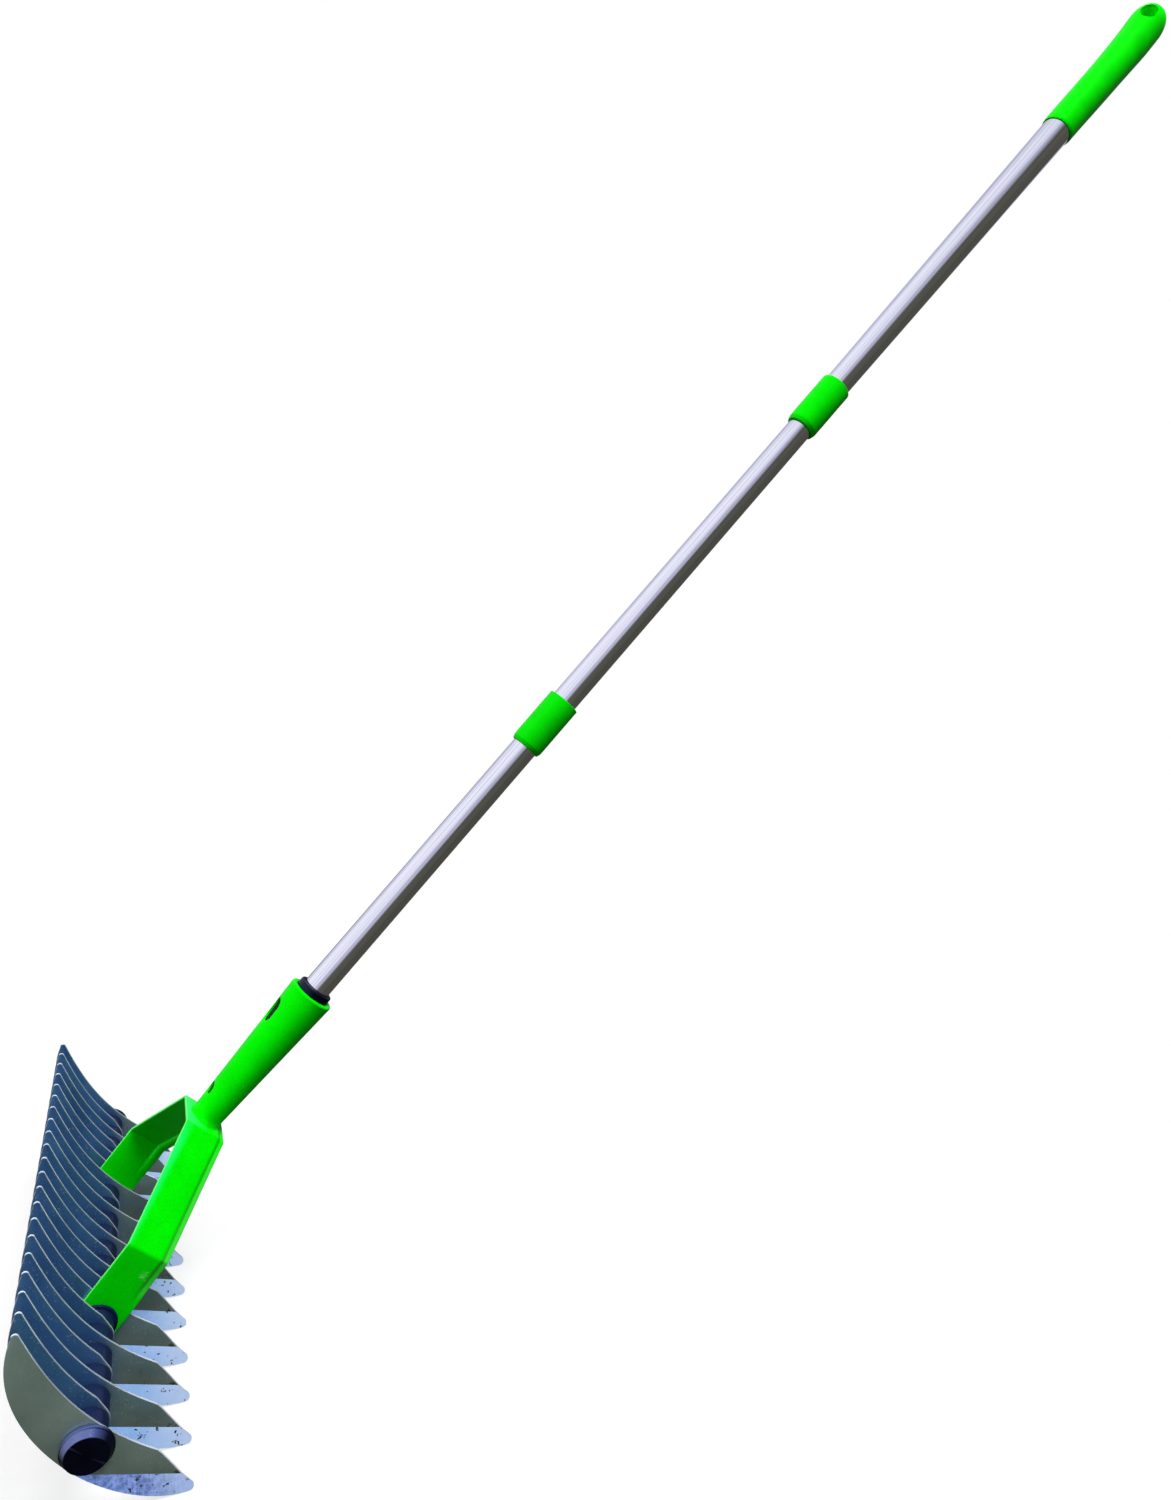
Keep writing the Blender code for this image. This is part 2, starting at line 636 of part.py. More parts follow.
def grip_bend(s):
    """The grip's middle line leaves the handle's axis: hollow towards the
    upper side along its length, and turned up at its end."""
    hollow = math.sin(math.pi * ramp(s, *HOLLOW_SPAN))
    end = ramp(s, *TURN_UP_SPAN)
    return HOLLOW_DEPTH * hollow - TURN_UP * end * end * (3 - 2 * end)


def grip_outer():
    """Outer (radius, s) points from the mouth to the dome's top."""
    points = [(grip_radius(s), s) for s in GRIP_STATIONS]
    dome_r = grip_radius(DOME_R_FROM) + DOME_R_EXTRA
    dome_height = GRIP_END - GRIP_FOOT - DOME_FOOT
    for k in range(DOME_RINGS):
        angle = math.radians(90.0 * k / DOME_DIVISOR)
        points.append((dome_r * math.cos(angle) ** DOME_POWER,
                       DOME_FOOT + dome_height * math.sin(angle)))
    return points


def grip_mesh():
    """Hollow grip closed by a dome at its upper end, with a straight bore."""
    bore = [(GRIP_BORE_R, GRIP_BORE_END - GRIP_FOOT), (GRIP_BORE_R, 0.0)]
    outer = grip_outer()
    shifts = [0.0, 0.0] + [grip_bend(s) for _, s in outer]
    return lathe("grip", bore + outer, 32, closed=False, shifts=shifts)


def build_grip(joint, joint_s):
    grip = add("grip", grip_mesh(), "green_plastic", joint, (0, 0, GRIP_FOOT - joint_s),
               sharp_angle=40)
    # bore square to the handle, turned from the upper side towards +X
    cut(grip, drill_mesh("hang_drill", HANG_R, HANG_DRILL_HALF), joint,
        (0, 0, HANG_S - joint_s), (math.pi / 2, 0.0, math.radians(HANG_TURN)))


def build_section(handle, plug, part, seat, end, wall):
    """Tube and plug between two seats, on a joint at the tube's lower end.
    Returns the joint and its place along the handle."""
    foot = seat + GAP
    joint = empty(part + "_joint", handle, (0, 0, foot))
    tube = tube_mesh("tube_" + part, wall(end - GAP - foot))
    add("tube_" + part, tube, "tube_steel", joint)
    add("screw_plug_" + part, plug, "grey_plastic", joint)
    return joint, foot


def build_handle(handle):
    plug = plug_mesh()
    collar = collar_mesh()
    seat = INSERT_SEAT
    for part, collar_name, collar_s in (("lower", "collar_lower", COLLAR_1),
                                        ("middle", "collar_upper", COLLAR_2)):
        joint, joint_s = build_section(handle, plug, part, seat, collar_s + FOOT_L,
                                       straight_wall)
        add(collar_name, collar, "green_plastic", joint, (0, 0, collar_s - joint_s))
        seat = collar_s + COLLAR_SEAT
    joint, joint_s = build_section(handle, plug, "upper", seat, GRIP_BORE_END, flared_wall)
    build_grip(joint, joint_s)


def main():
    clear_scene()
    tilt = math.radians(HANDLE_TILT)
    handle = empty("handle_axis", rotation=(tilt - math.pi / 2, 0.0, 0.0))
    up_handle = Vector((0, math.cos(tilt), math.sin(tilt)))
    lower_side = Vector((0, math.sin(tilt), -math.cos(tilt)))
    axle = empty("axle_axis", location=up_handle * -AXLE_DROP + lower_side * AXLE_OFFSET)
    build_blades(axle)
    build_sleeves(axle)
    build_rod(axle)
    build_axle_ends(axle)
    build_yoke(handle, axle)
    build_socket(handle)
    build_insert(handle)
    build_handle(handle)
    bpy.context.view_layer.update()


main()
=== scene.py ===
"""Looks of a lawn thatch rake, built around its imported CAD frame.

The axle lies along x, with the blades strung on it. The handle rises from the
head towards +y and +z. "Right" is +x, "left" is -x.

Lengths in the shape code are millimetres in one of two local frames, and
raw_mesh() turns them into metres in the row frame:
  handle frame (x, y, z): z up the handle's axis from the yoke's top plate,
                          y square to it on the lower side, x along the axle
  axle frame   (x, y, z): row directions, centred on the axle
Profiles of turned parts are rows of (radius, z). Materials work in metres.
"""
import math

import bmesh
import bpy
import numpy as np
from mathutils import Matrix, Vector


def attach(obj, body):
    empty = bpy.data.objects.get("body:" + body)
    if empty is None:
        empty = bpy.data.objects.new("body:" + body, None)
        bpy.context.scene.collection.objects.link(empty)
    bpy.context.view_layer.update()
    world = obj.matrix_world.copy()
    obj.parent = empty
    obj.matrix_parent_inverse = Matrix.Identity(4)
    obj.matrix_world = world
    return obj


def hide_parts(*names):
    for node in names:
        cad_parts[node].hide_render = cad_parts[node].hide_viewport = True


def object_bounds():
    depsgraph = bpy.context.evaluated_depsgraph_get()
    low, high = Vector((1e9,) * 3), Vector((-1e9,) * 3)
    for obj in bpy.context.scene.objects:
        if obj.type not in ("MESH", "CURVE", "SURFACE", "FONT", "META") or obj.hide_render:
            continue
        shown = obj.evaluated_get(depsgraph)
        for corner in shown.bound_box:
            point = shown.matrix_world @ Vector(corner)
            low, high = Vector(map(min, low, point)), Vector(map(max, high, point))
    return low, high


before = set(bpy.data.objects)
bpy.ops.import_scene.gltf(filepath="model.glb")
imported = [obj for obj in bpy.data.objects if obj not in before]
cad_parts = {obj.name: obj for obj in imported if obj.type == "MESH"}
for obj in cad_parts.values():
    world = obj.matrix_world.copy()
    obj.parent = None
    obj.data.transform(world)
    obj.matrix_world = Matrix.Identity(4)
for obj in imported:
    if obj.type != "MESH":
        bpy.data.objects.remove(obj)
CAD_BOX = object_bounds()
MM = 0.001

# ------------------------------------------------------------- the two frames
TILT = math.radians(45.8)          # handle above the horizontal
HANDLE = Matrix(((1, 0, 0, 0),
                 (0, math.sin(TILT), math.cos(TILT), 0),
                 (0, -math.cos(TILT), math.sin(TILT), 0),
                 (0, 0, 0, 1)))
AXLE_DROP, AXLE_OFFSET = 125.0, 7.3
AXLE_AT = HANDLE @ Vector((0, AXLE_OFFSET, -AXLE_DROP))
AXLE = Matrix.Translation(AXLE_AT)
AXLE_Y, AXLE_Z = AXLE_AT.y * MM, AXLE_AT.z * MM

# row directions of the handle frame, as the materials use them
ALONG = (0.0, round(math.cos(TILT), 6), round(math.sin(TILT), 6))
LOWER_SIDE = (0.0, ALONG[2], -ALONG[1])
UPPER_SIDE = (0.0, -ALONG[2], ALONG[1])

# dimensions that materials and shapes share
GAP, YOKE_T = 0.3, 2.5
EDGE_LINE = ((-1.0, -19.9), (51.0, -39.4))    # top of the ground toe, axle (y, z)


def up_handle(z, turn=0.0):
    """Handle frame moved up by z, turned about the handle's axis."""
    return HANDLE @ Matrix.Translation((0, 0, z)) @ Matrix.Rotation(turn, 4, "Z")


def on_axle(x, sign=1):
    """Local z along the axle, outwards by sign, from x."""
    return AXLE @ Matrix.Translation((x, 0, 0)) @ Matrix.Rotation(sign * math.pi / 2, 4, "Y")


# --------------------------------------------------------------- shader nodes
def wire(tree, value, socket):
    """Link a Signal to an input, or give the input a fixed value."""
    if isinstance(value, Signal):
        tree.links.new(value.socket, socket)
    elif socket.type == "RGBA":
        socket.default_value = (*value, 1.0)
    else:
        socket.default_value = value


def add_node(tree, kind, output, inputs=None, **settings):
    """New shader node with its settings and inputs; returns one output."""
    node = tree.nodes.new("ShaderNode" + kind)
    for name, setting in settings.items():
        setattr(node, name, setting)
    for key, value in (inputs or {}).items():
        wire(tree, value, node.inputs[key])
    return Signal(tree, node.outputs[output])


def mix(tree, factor, low, high, blend="MIX"):
    return add_node(tree, "Mix", "Result", {"Factor": factor, "A": low, "B": high},
                    data_type="RGBA", blend_type=blend)


class Signal:
    """A node's output; operators and methods add the nodes it feeds."""

    def __init__(self, tree, socket):
        self.tree, self.socket = tree, socket

    def math(self, operation, other):
        return add_node(self.tree, "Math", 0, {0: self, 1: other}, operation=operation)

    def __mul__(self, other):
        return self.math("MULTIPLY", other)

    def __add__(self, other):
        return self.math("ADD", other)

    def __sub__(self, other):
        return self.math("SUBTRACT", other)

    def highest(self, other):
        return self.math("MAXIMUM", other)

    def ramp(self, lo, hi, to=(0.0, 1.0), smooth=False):
        """Values from lo to hi mapped to the range `to`, held beyond it."""
        return add_node(self.tree, "MapRange", "Result",
                        {"From Min": lo, "From Max": hi, "To Min": to[0], "To Max": to[1],
                         "Value": self},
                        interpolation_type="SMOOTHSTEP" if smooth else "LINEAR")

    def colours(self, low, high):
        """Colour that runs from low to high as this signal goes from 0 to 1."""
        return mix(self.tree, self, low, high)

    def tinted(self, where, tint, amount=None, blend="MIX"):
        """This colour, with tint over it by the mask `where` times amount."""
        return mix(self.tree, where if amount is None else where * amount, self, tint, blend)

    def noise(self, scale, detail, rough=0.55, twist=0.0):
        return add_node(self.tree, "TexNoise", 0,
                        {"Scale": scale, "Detail": detail, "Roughness": rough,
                         "Distortion": twist, "Vector": self})

    def cells(self, scale):
        return add_node(self.tree, "TexVoronoi", "Distance", {"Scale": scale, "Vector": self})

    def stretched(self, scale, rot=(0, 0, 0)):
        return add_node(self.tree, "Mapping", "Vector",
                        {"Scale": scale, "Rotation": rot, "Vector": self})

    def dot(self, axis):
        return add_node(self.tree, "VectorMath", "Value", {0: self, 1: axis},
                        operation="DOT_PRODUCT")

    def distance(self, point):
        return add_node(self.tree, "VectorMath", "Value", {0: self, 1: point},
                        operation="DISTANCE")

    def split(self):
        """The x, y and z of a vector."""
        node = add_node(self.tree, "SeparateXYZ", 0, {0: self}).socket.node
        return [Signal(self.tree, socket) for socket in node.outputs]

    def bump(self, distance, strength, under=None):
        inputs = {"Strength": strength, "Distance": distance, "Height": self}
        if under is not None:
            inputs["Normal"] = under
        return add_node(self.tree, "Bump", "Normal", inputs)


class Look:
    """A material being made on its Principled shader."""

    def __init__(self, name):
        self.material = bpy.data.materials.new(name)
        self.material.use_nodes = True
        self.tree = self.material.node_tree
        self.shader = self.tree.nodes["Principled BSDF"]

    def coords(self, kind="Object"):
        return add_node(self.tree, "TexCoord", kind)

    def normal(self):
        return add_node(self.tree, "NewGeometry", "Normal")

    def convex_edges(self, lo, hi):
        return add_node(self.tree, "NewGeometry", "Pointiness").ramp(lo=lo, hi=hi)

    def finish(self, inputs):
        for name, value in inputs.items():
            wire(self.tree, value, self.shader.inputs[name])
        return self.material


# ------------------------------------------------------------------ materials
def green_paint():
    """Thick lime powder coat on steel: orange peel, chips, rubbed edges with a painted edge
    highlight, and painted sky reflection, highlight and shade on the strip.
    """
    look = Look("green_paint")
    at = look.coords()
    cloud = at.noise(scale=38, detail=3)
    fine = at.noise(scale=620, detail=2, rough=0.5)
    colour = cloud.ramp(lo=0.3, hi=0.7).colours(low=(0.0003, 0.80, 0.0003),
                                                high=(0.0005, 0.93, 0.0005))
    colour = colour.tinted(fine.ramp(lo=0.35, hi=0.8, to=(0.0, 0.25)), tint=(0.0, 0.50, 0.0))
    # paler convex edges: partly rubbed paint, partly a painted edge highlight
    edge = look.convex_edges(lo=0.535, hi=0.62) * (
        at.noise(scale=210, detail=4, rough=0.7).ramp(lo=0.35, hi=0.62))
    colour = colour.tinted(edge, amount=0.4, tint=(0.20, 0.95, 0.28))

    # hairline scuffs, a few over the whole frame and a cluster on the right leg
    streak = at.stretched(scale=(900, 260, 55), rot=(0.4, 0.5, 0.2)).noise(
        scale=1.0, detail=2, rough=0.6)
    sparse = at.noise(scale=23, detail=2).ramp(lo=0.60, hi=0.72)
    scuff = streak.ramp(lo=0.66, hi=0.72) * sparse
    cluster_at = HANDLE @ Vector((79.9, 13.0, -82.0)) * MM
    near = at.distance(cluster_at).ramp(lo=0.0015, hi=0.0045, to=(1.0, 0.0))
    rub = at.stretched(scale=(300, 140, 700), rot=(0.75, 0, 0)).noise(
        scale=1.0, detail=3, rough=0.7).ramp(lo=0.5, hi=0.6)
    scuff = scuff.highest(near * rub)
    colour = colour.tinted(scuff, amount=0.8, tint=(0.42, 0.92, 0.42))

    # painted light on the strip: a painted cyan sky reflection on its right-hand face near the
    # upper edge and where it faces up the handle, painted shade on its lower flange, and a painted
    # highlight along its upper rim
    facing = look.normal()
    top = facing.dot((0.0, 0.697, 0.717)).ramp(lo=0.80, hi=0.98)
    on_strip = at.dot(ALONG).ramp(lo=YOKE_T * MM, hi=(YOKE_T + GAP) * MM, to=(1.0, 0.0))
    across = at.dot(LOWER_SIDE)
    x = at.split()[0]
    outward = facing.dot((1.0, 0.0, 0.0)).ramp(lo=0.5, hi=0.7) * x.ramp(lo=0.015, hi=0.03)
    outward = outward * x.ramp(lo=0.0785, hi=0.0793, to=(1.0, 0.0))
    upper = across.ramp(lo=-0.0155, hi=-0.0090, to=(0.6, 0.0), smooth=True)
    # painted sky reflection near the upper edge of the right-hand face
    colour = colour.tinted(outward * on_strip * upper, tint=(0.02, 0.95, 0.22))
    # painted shade on the lower flange
    lower = across.ramp(lo=0.0148, hi=0.0158, to=(0.0, 1.0))
    flange_share = 0.7
    colour = colour.tinted(outward * on_strip * (lower * flange_share), tint=(0.06, 0.70, 0.05))
    # painted sky reflection where the strip faces up the handle, stronger towards its upper edge
    upper = across.ramp(lo=-0.016, hi=0.004, to=(0.5, 0.0), smooth=True)
    colour = colour.tinted(top * on_strip * upper, tint=(0.05, 0.92, 0.26))
    # painted highlight along the upper rim
    rim = facing.dot(UPPER_SIDE).ramp(lo=0.55, hi=0.85)
    colour = colour.tinted(rim * on_strip, amount=0.5, tint=(0.30, 0.92, 0.38))

    cloud_share, scuff_share = 0.6, 0.5       # of the roughness
    dull = cloud * cloud_share + scuff * scuff_share
    peel = at.noise(scale=900, detail=2, rough=0.5).bump(distance=0.00002, strength=0.5)
    return look.finish({
        "Base Color": colour,
        "Roughness": dull.ramp(lo=0.2, hi=0.8, to=(0.30, 0.52)),
        "Specular IOR Level": top.ramp(lo=0, hi=1, to=(0.05, 0.10)),
        "Coat Weight": top.ramp(lo=0, hi=1, to=(0.0, 0.06)),
        "Coat Roughness": 0.2,
        "Coat Tint": (0.6, 1.0, 0.9),
        "Normal": scuff.bump(distance=0.00004, strength=0.6, under=peel)})


def green_plastic():
    """Lime plastic with a fine spark-eroded grain and faint flow marks."""
    look = Look("green_plastic")
    at = look.coords()
    flow = at.noise(scale=55, detail=3, rough=0.5, twist=0.6)
    colour = flow.ramp(lo=0.3, hi=0.7).colours(low=(0.0003, 0.63, 0.0005),
                                               high=(0.0005, 0.73, 0.0005))
    # paler on convex edges: a painted edge highlight
    edge = look.convex_edges(lo=0.56, hi=0.66)
    colour = colour.tinted(edge, amount=0.25, tint=(0.12, 0.90, 0.16))
    dirt = at.noise(scale=16, detail=5, rough=0.7).ramp(lo=0.60, hi=0.78, to=(0.0, 0.22))
    grain = at.cells(scale=1500).bump(distance=0.00001, strength=0.05)
    waves = at.noise(scale=150, detail=2)
    return look.finish({
        "Base Color": colour.tinted(dirt, tint=(0.02, 0.30, 0.02)),
        "Roughness": flow.ramp(lo=0.25, hi=0.75, to=(0.34, 0.46)),
        "Specular IOR Level": 0.07,
        "Normal": waves.bump(distance=0.00004, strength=0.06, under=grain)})


def black_plastic():
    """Black plastic: painted sky reflection on upper sides, painted blue cast on the head's parts,
    rubbed edges with a painted highlight.
    """
    look = Look("black_plastic")
    at = look.coords()
    cloud = at.noise(scale=60, detail=4, rough=0.6)
    # upward-facing mask for a painted sky reflection in the colour; it also sets the specular level
    sky = look.normal().dot((0.10, -0.25, 0.96)).ramp(lo=0.25, hi=0.85, smooth=True)
    # the painted sky reflection in full on the right end cap only, faint elsewhere
    x, y, _ = at.split()
    sky = sky * x.ramp(lo=0.1903, hi=0.1908, to=(0.07, 1.0))
    # no painted sky reflection on the insert inside the socket
    height = at.dot(ALONG)
    sky = sky * height.ramp(lo=0.0, hi=0.02, to=(1.0, 0.0)).highest(
        height.ramp(lo=0.1265, hi=0.1275))
    black, lighter = (0.0015, 0.0020, 0.0055), 2.6
    colour = cloud.ramp(lo=0.3, hi=0.7).colours(low=black,
                                                high=tuple(part * lighter for part in black))
    # painted sky reflection: lavender-blue on the upper sides
    colour = colour.tinted(sky, amount=0.6, tint=(0.060, 0.105, 0.36))
    # painted blue cast of reflected sky on the sleeves and the left cap
    painted_blue_cast = (y.ramp(lo=-0.06, hi=-0.05, to=(1.0, 0.0))
               * x.ramp(lo=0.1903, hi=0.1908, to=(1.0, 0.0)))
    colour = colour.tinted(painted_blue_cast, tint=(0.004, 0.010, 0.040), blend="ADD")
    # lighter, bluer convex edges: partly rubbed plastic, partly a painted edge highlight
    edge = look.convex_edges(lo=0.54, hi=0.64)
    colour = colour.tinted(edge, amount=0.35, tint=(0.05, 0.055, 0.12))
    # pale lavender specks on the upper sides: partly dust, partly a painted sheen
    dust_and_sheen = (at.noise(scale=620, detail=3, rough=0.7).ramp(lo=0.63, hi=0.70)
            * at.noise(scale=70, detail=2).ramp(lo=0.50, hi=0.65))
    colour = colour.tinted(dust_and_sheen * sky, amount=0.6, tint=(0.35, 0.38, 0.55))
    return look.finish({
        "Base Color": colour,
        "Roughness": cloud.ramp(lo=0.2, hi=0.8, to=(0.20, 0.34)),
        "IOR": 1.75,
        "Specular IOR Level": sky.ramp(lo=0, hi=1, to=(0.02, 1.0)),
        "Specular Tint": (0.72, 0.74, 1.0),
        "Normal": at.noise(scale=700, detail=3).bump(distance=0.00003, strength=0.35)})


def blade_steel():
    """Rolled spring steel: soft rolling lines, dull patches, pale specks and grit, with painted sky
    and ground reflections and painted shade.
    """
    look = Look("blade_steel")
    at = look.coords()
    x, y, z = at.split()
    rolled = at.stretched(scale=(30, 620, 70), rot=(0.62, 0, 0)).noise(
        scale=1.0, detail=2, rough=0.5)
    patch = at.noise(scale=26, detail=4, rough=0.55)
    speck = at.noise(scale=640, detail=3, rough=0.75)

    def patchy(low, high):
        return patch.ramp(lo=0.3, hi=0.7).colours(low=low, high=high)
    grey = patchy(low=(0.41, 0.58, 0.54), high=(0.57, 0.75, 0.70))
    slate = patchy(low=(0.08, 0.23, 0.50), high=(0.14, 0.36, 0.70))
    olive = patchy(low=(0.28, 0.39, 0.38), high=(0.40, 0.55, 0.55))
    # painted reflections: inner blades go from a painted slate sky reflection to a painted olive
    # ground reflection towards +y; the rightmost one, a lit copy, is grey
    side = y.ramp(lo=AXLE_Y + 0.002, hi=AXLE_Y + 0.018, smooth=True)
    inner = side.colours(low=slate, high=olive)
    rightmost = x.ramp(lo=0.184, hi=0.187)
    # painted shade: the rightmost blade darker towards +y
    rightmost_shade = y.ramp(lo=AXLE_Y - 0.050, hi=AXLE_Y + 0.055, to=(0.0, 0.24))
    grey = grey.tinted(rightmost_shade, tint=(0.0, 0.0, 0.0))
    colour = rightmost.colours(low=inner, high=grey)
    specks = (speck.ramp(lo=0.60, hi=0.67)
              * at.noise(scale=75, detail=2).ramp(lo=0.44, hi=0.56))
    colour = colour.tinted(specks, amount=0.8, tint=(0.78, 0.82, 0.80))
    # soil packed along the top of the ground toe, by height above its line
    normal_y, normal_z = 0.351, 0.936
    line_y, line_z = EDGE_LINE[0]
    above = y * normal_y + z * normal_z - (
        normal_y * (AXLE_AT.y + line_y) * MM + normal_z * (AXLE_AT.z + line_z) * MM)
    toe = above.ramp(lo=0.0065, hi=0.001) * y.ramp(lo=AXLE_Y + 0.030, hi=AXLE_Y + 0.046)
    toe_push, clean_metal = 0.14, 0.72        # more soil at the toe; metallic without soil
    soil = (at.noise(scale=230, detail=4, rough=0.7) + toe * toe_push).ramp(
        lo=0.64, hi=0.67) * toe
    lines = rolled.bump(distance=0.00001, strength=0.05)
    return look.finish({
        "Base Color": colour.tinted(soil, tint=(0.05, 0.035, 0.02)),
        "Metallic": soil.ramp(lo=0, hi=1, to=(1, 0)) * clean_metal,
        "Roughness": (rolled.ramp(lo=0.3, hi=0.7, to=(0.27, 0.30))
                      + patch.ramp(lo=0.4, hi=0.8, to=(0.0, 0.08))),
        "Normal": specks.bump(distance=0.00003, strength=0.2, under=lines)})


def blade_ground():
    """The ground toe: a painted bright, cold sky reflection, with grinding lines across its width.
    """
    look = Look("blade_ground")
    at = look.coords()
    x, y, _ = at.split()
    lines = at.stretched(scale=(30, 1600, 60), rot=(0.45, 0, 0)).noise(
        scale=1.0, detail=3, rough=0.65)
    patch = at.noise(scale=120, detail=4, rough=0.6)
    # pale blue base colour: a painted sky reflection
    colour = patch.ramp(lo=0.3, hi=0.7).colours(low=(0.36, 0.60, 0.98), high=(0.48, 0.72, 1.0))
    # painted highlight: paler towards +y
    pale = y.ramp(lo=AXLE_Y + 0.022, hi=AXLE_Y + 0.052)
    colour = colour.tinted(pale, amount=0.7, tint=(0.86, 0.93, 1.0))
    # painted reflection: the rightmost blade is violet, with a painted highlight paler towards its
    # tip
    rightmost = x.ramp(lo=0.184, hi=0.187, to=(0.0, 0.75))
    dents = at.noise(scale=210, detail=4, rough=0.7)
    violet = dents.ramp(lo=0.42, hi=0.62).colours(low=(0.07, 0.10, 0.34),
                                                  high=(0.36, 0.47, 0.92))
    tip = y.ramp(lo=AXLE_Y + 0.030, hi=AXLE_Y + 0.050, to=(0.0, 0.7))
    violet = violet.tinted(tip, tint=(0.62, 0.76, 1.0))
    colour = colour.tinted(rightmost, tint=violet)
    colour = colour.tinted(lines.ramp(lo=0.55, hi=0.75, to=(0.0, 0.4)), tint=(0.92, 0.95, 1.0))
    toe = y.ramp(lo=AXLE_Y + 0.026, hi=AXLE_Y + 0.044, to=(0.0, 0.035))
    grit = ((at.noise(scale=240, detail=3, rough=0.65) + toe).ramp(lo=0.635, hi=0.65)
            * at.noise(scale=70, detail=2).ramp(lo=0.49, hi=0.53))
    colour = colour.tinted(grit, tint=(0.035, 0.03, 0.025))
    scratches = lines.bump(distance=0.00004, strength=0.35)
    return look.finish({
        "Base Color": colour,
        "Metallic": 0.0,
        # stands for the open sky that the bright ground steel gives back
        "Emission Color": colour.tinted(1.0, tint=(0.24, 0.30, 0.44), blend="MULTIPLY"),
        "Emission Strength": 1.0,
        "Roughness": lines.ramp(lo=0.3, hi=0.7, to=(0.24, 0.42)),
        "Normal": grit.bump(distance=0.0002, strength=0.6, under=scratches)})


def blade_edge():
    """Sheared thickness of the plate, with a painted highlight where it faces the sky."""
    look = Look("blade_edge")
    at = look.coords()
    facing_up = look.normal().dot((0.0, 0.35, 0.94))
    torn = at.stretched(scale=(1400, 300, 300)).noise(scale=1.0, detail=3, rough=0.6)
    colour = torn.ramp(lo=0.35, hi=0.7).colours(low=(0.62, 0.72, 0.86), high=(0.90, 0.95, 1.0))
    # painted shade: darker over the middle of the blade's height
    z = at.split()[2]
    middle = (z.ramp(lo=AXLE_Z - 0.015, hi=AXLE_Z + 0.010, smooth=True)
              * z.ramp(lo=AXLE_Z + 0.055, hi=AXLE_Z + 0.080, to=(1, 0), smooth=True))
    colour = colour.tinted(middle, amount=0.5, tint=(0.12, 0.18, 0.26))
    return look.finish({
        # painted highlight and shade: pale where the edge faces up, dark where it faces down
        "Base Color": facing_up.ramp(lo=-0.3, hi=0.25).colours(low=(0.10, 0.10, 0.10),
                                                               high=colour),
        "Metallic": 0.35,
        "Roughness": torn.ramp(lo=0.3, hi=0.7, to=(0.30, 0.50)),
        "Normal": torn.bump(distance=0.00005, strength=0.4)})


def tube_steel():
    """Polished stainless tube: lines along its length, smears, fine dents."""
    look = Look("tube_steel")
    around = look.coords("UV")
    drawn = around.stretched(scale=(34, 1.2, 1)).noise(scale=1.0, detail=4, rough=0.7)
    fine = around.stretched(scale=(160, 6, 1)).noise(scale=1.0, detail=2, rough=0.6)
    smear = around.stretched(scale=(9, 30, 1)).noise(scale=1.0, detail=4, rough=0.6)
    colour = drawn.ramp(lo=0.35, hi=0.68).colours(low=(0.80, 0.80, 0.90),
                                                  high=(0.92, 0.92, 0.98))
    colour = colour.tinted(drawn.ramp(lo=0.50, hi=0.60, to=(0.0, 0.6)), tint=(0.42, 0.42, 0.52))
    colour = colour.tinted(smear.ramp(lo=0.58, hi=0.8, to=(0.0, 0.35)), tint=(0.70, 0.66, 0.62))
    lines = drawn.bump(distance=0.00006, strength=0.8)
    return look.finish({
        "Base Color": colour,
        "Metallic": 1.0,
        "Roughness": (fine.ramp(lo=0.3, hi=0.7, to=(0.07, 0.13))
                      + smear.ramp(lo=0.5, hi=0.8, to=(0.0, 0.10))),
        "Normal": fine.bump(distance=0.00002, strength=0.6, under=lines)})


def zinc_steel():
    """Zinc plating: fine spangle, yellowish clouds."""
    look = Look("zinc_steel")
    at = look.coords()
    spangle = at.cells(scale=420)
    cloud = at.noise(scale=90, detail=3)
    colour = spangle.ramp(lo=0.1, hi=0.6).colours(low=(0.50, 0.52, 0.56),
                                                  high=(0.68, 0.68, 0.66))
    colour = colour.tinted(cloud.ramp(lo=0.45, hi=0.75, to=(0.0, 0.4)), tint=(0.60, 0.56, 0.44))
    return look.finish({
        "Base Color": colour,
        "Metallic": 1.0,
        "Roughness": cloud.ramp(lo=0.3, hi=0.7, to=(0.25, 0.42)),
        "Normal": at.noise(scale=1300, detail=2).bump(distance=0.00002, strength=0.4)})


def grey_plastic():
    """Glass-filled plug: matt, slightly fibrous, polished on thread crests."""
    look = Look("grey_plastic")
    at = look.coords()
    fibre = at.stretched(scale=(900, 250, 250)).noise(scale=1.0, detail=3, rough=0.7)
    colour = fibre.ramp(lo=0.35, hi=0.7).colours(low=(0.055, 0.056, 0.062),
                                                 high=(0.12, 0.12, 0.13))
    edge = look.convex_edges(lo=0.52, hi=0.60)
    return look.finish({
        "Base Color": colour.tinted(edge, amount=0.5, tint=(0.26, 0.26, 0.28)),
        "Roughness": edge.ramp(lo=0, hi=1, to=(0.55, 0.35)),
        "Normal": fibre.bump(distance=0.00003, strength=0.5)})


MATERIALS = {
    "green_paint": green_paint(), "green_plastic": green_plastic(),
    "black_plastic": black_plastic(), "blade_steel": blade_steel(),
    "blade_ground": blade_ground(), "blade_edge": blade_edge(),
    "tube_steel": tube_steel(), "zinc_steel": zinc_steel(), "grey_plastic": grey_plastic(),
}


# -------------------------------------------------------------- shape helpers
def link(name, data):
    obj = bpy.data.objects.new(name, data)
    bpy.context.scene.collection.objects.link(obj)
    return obj


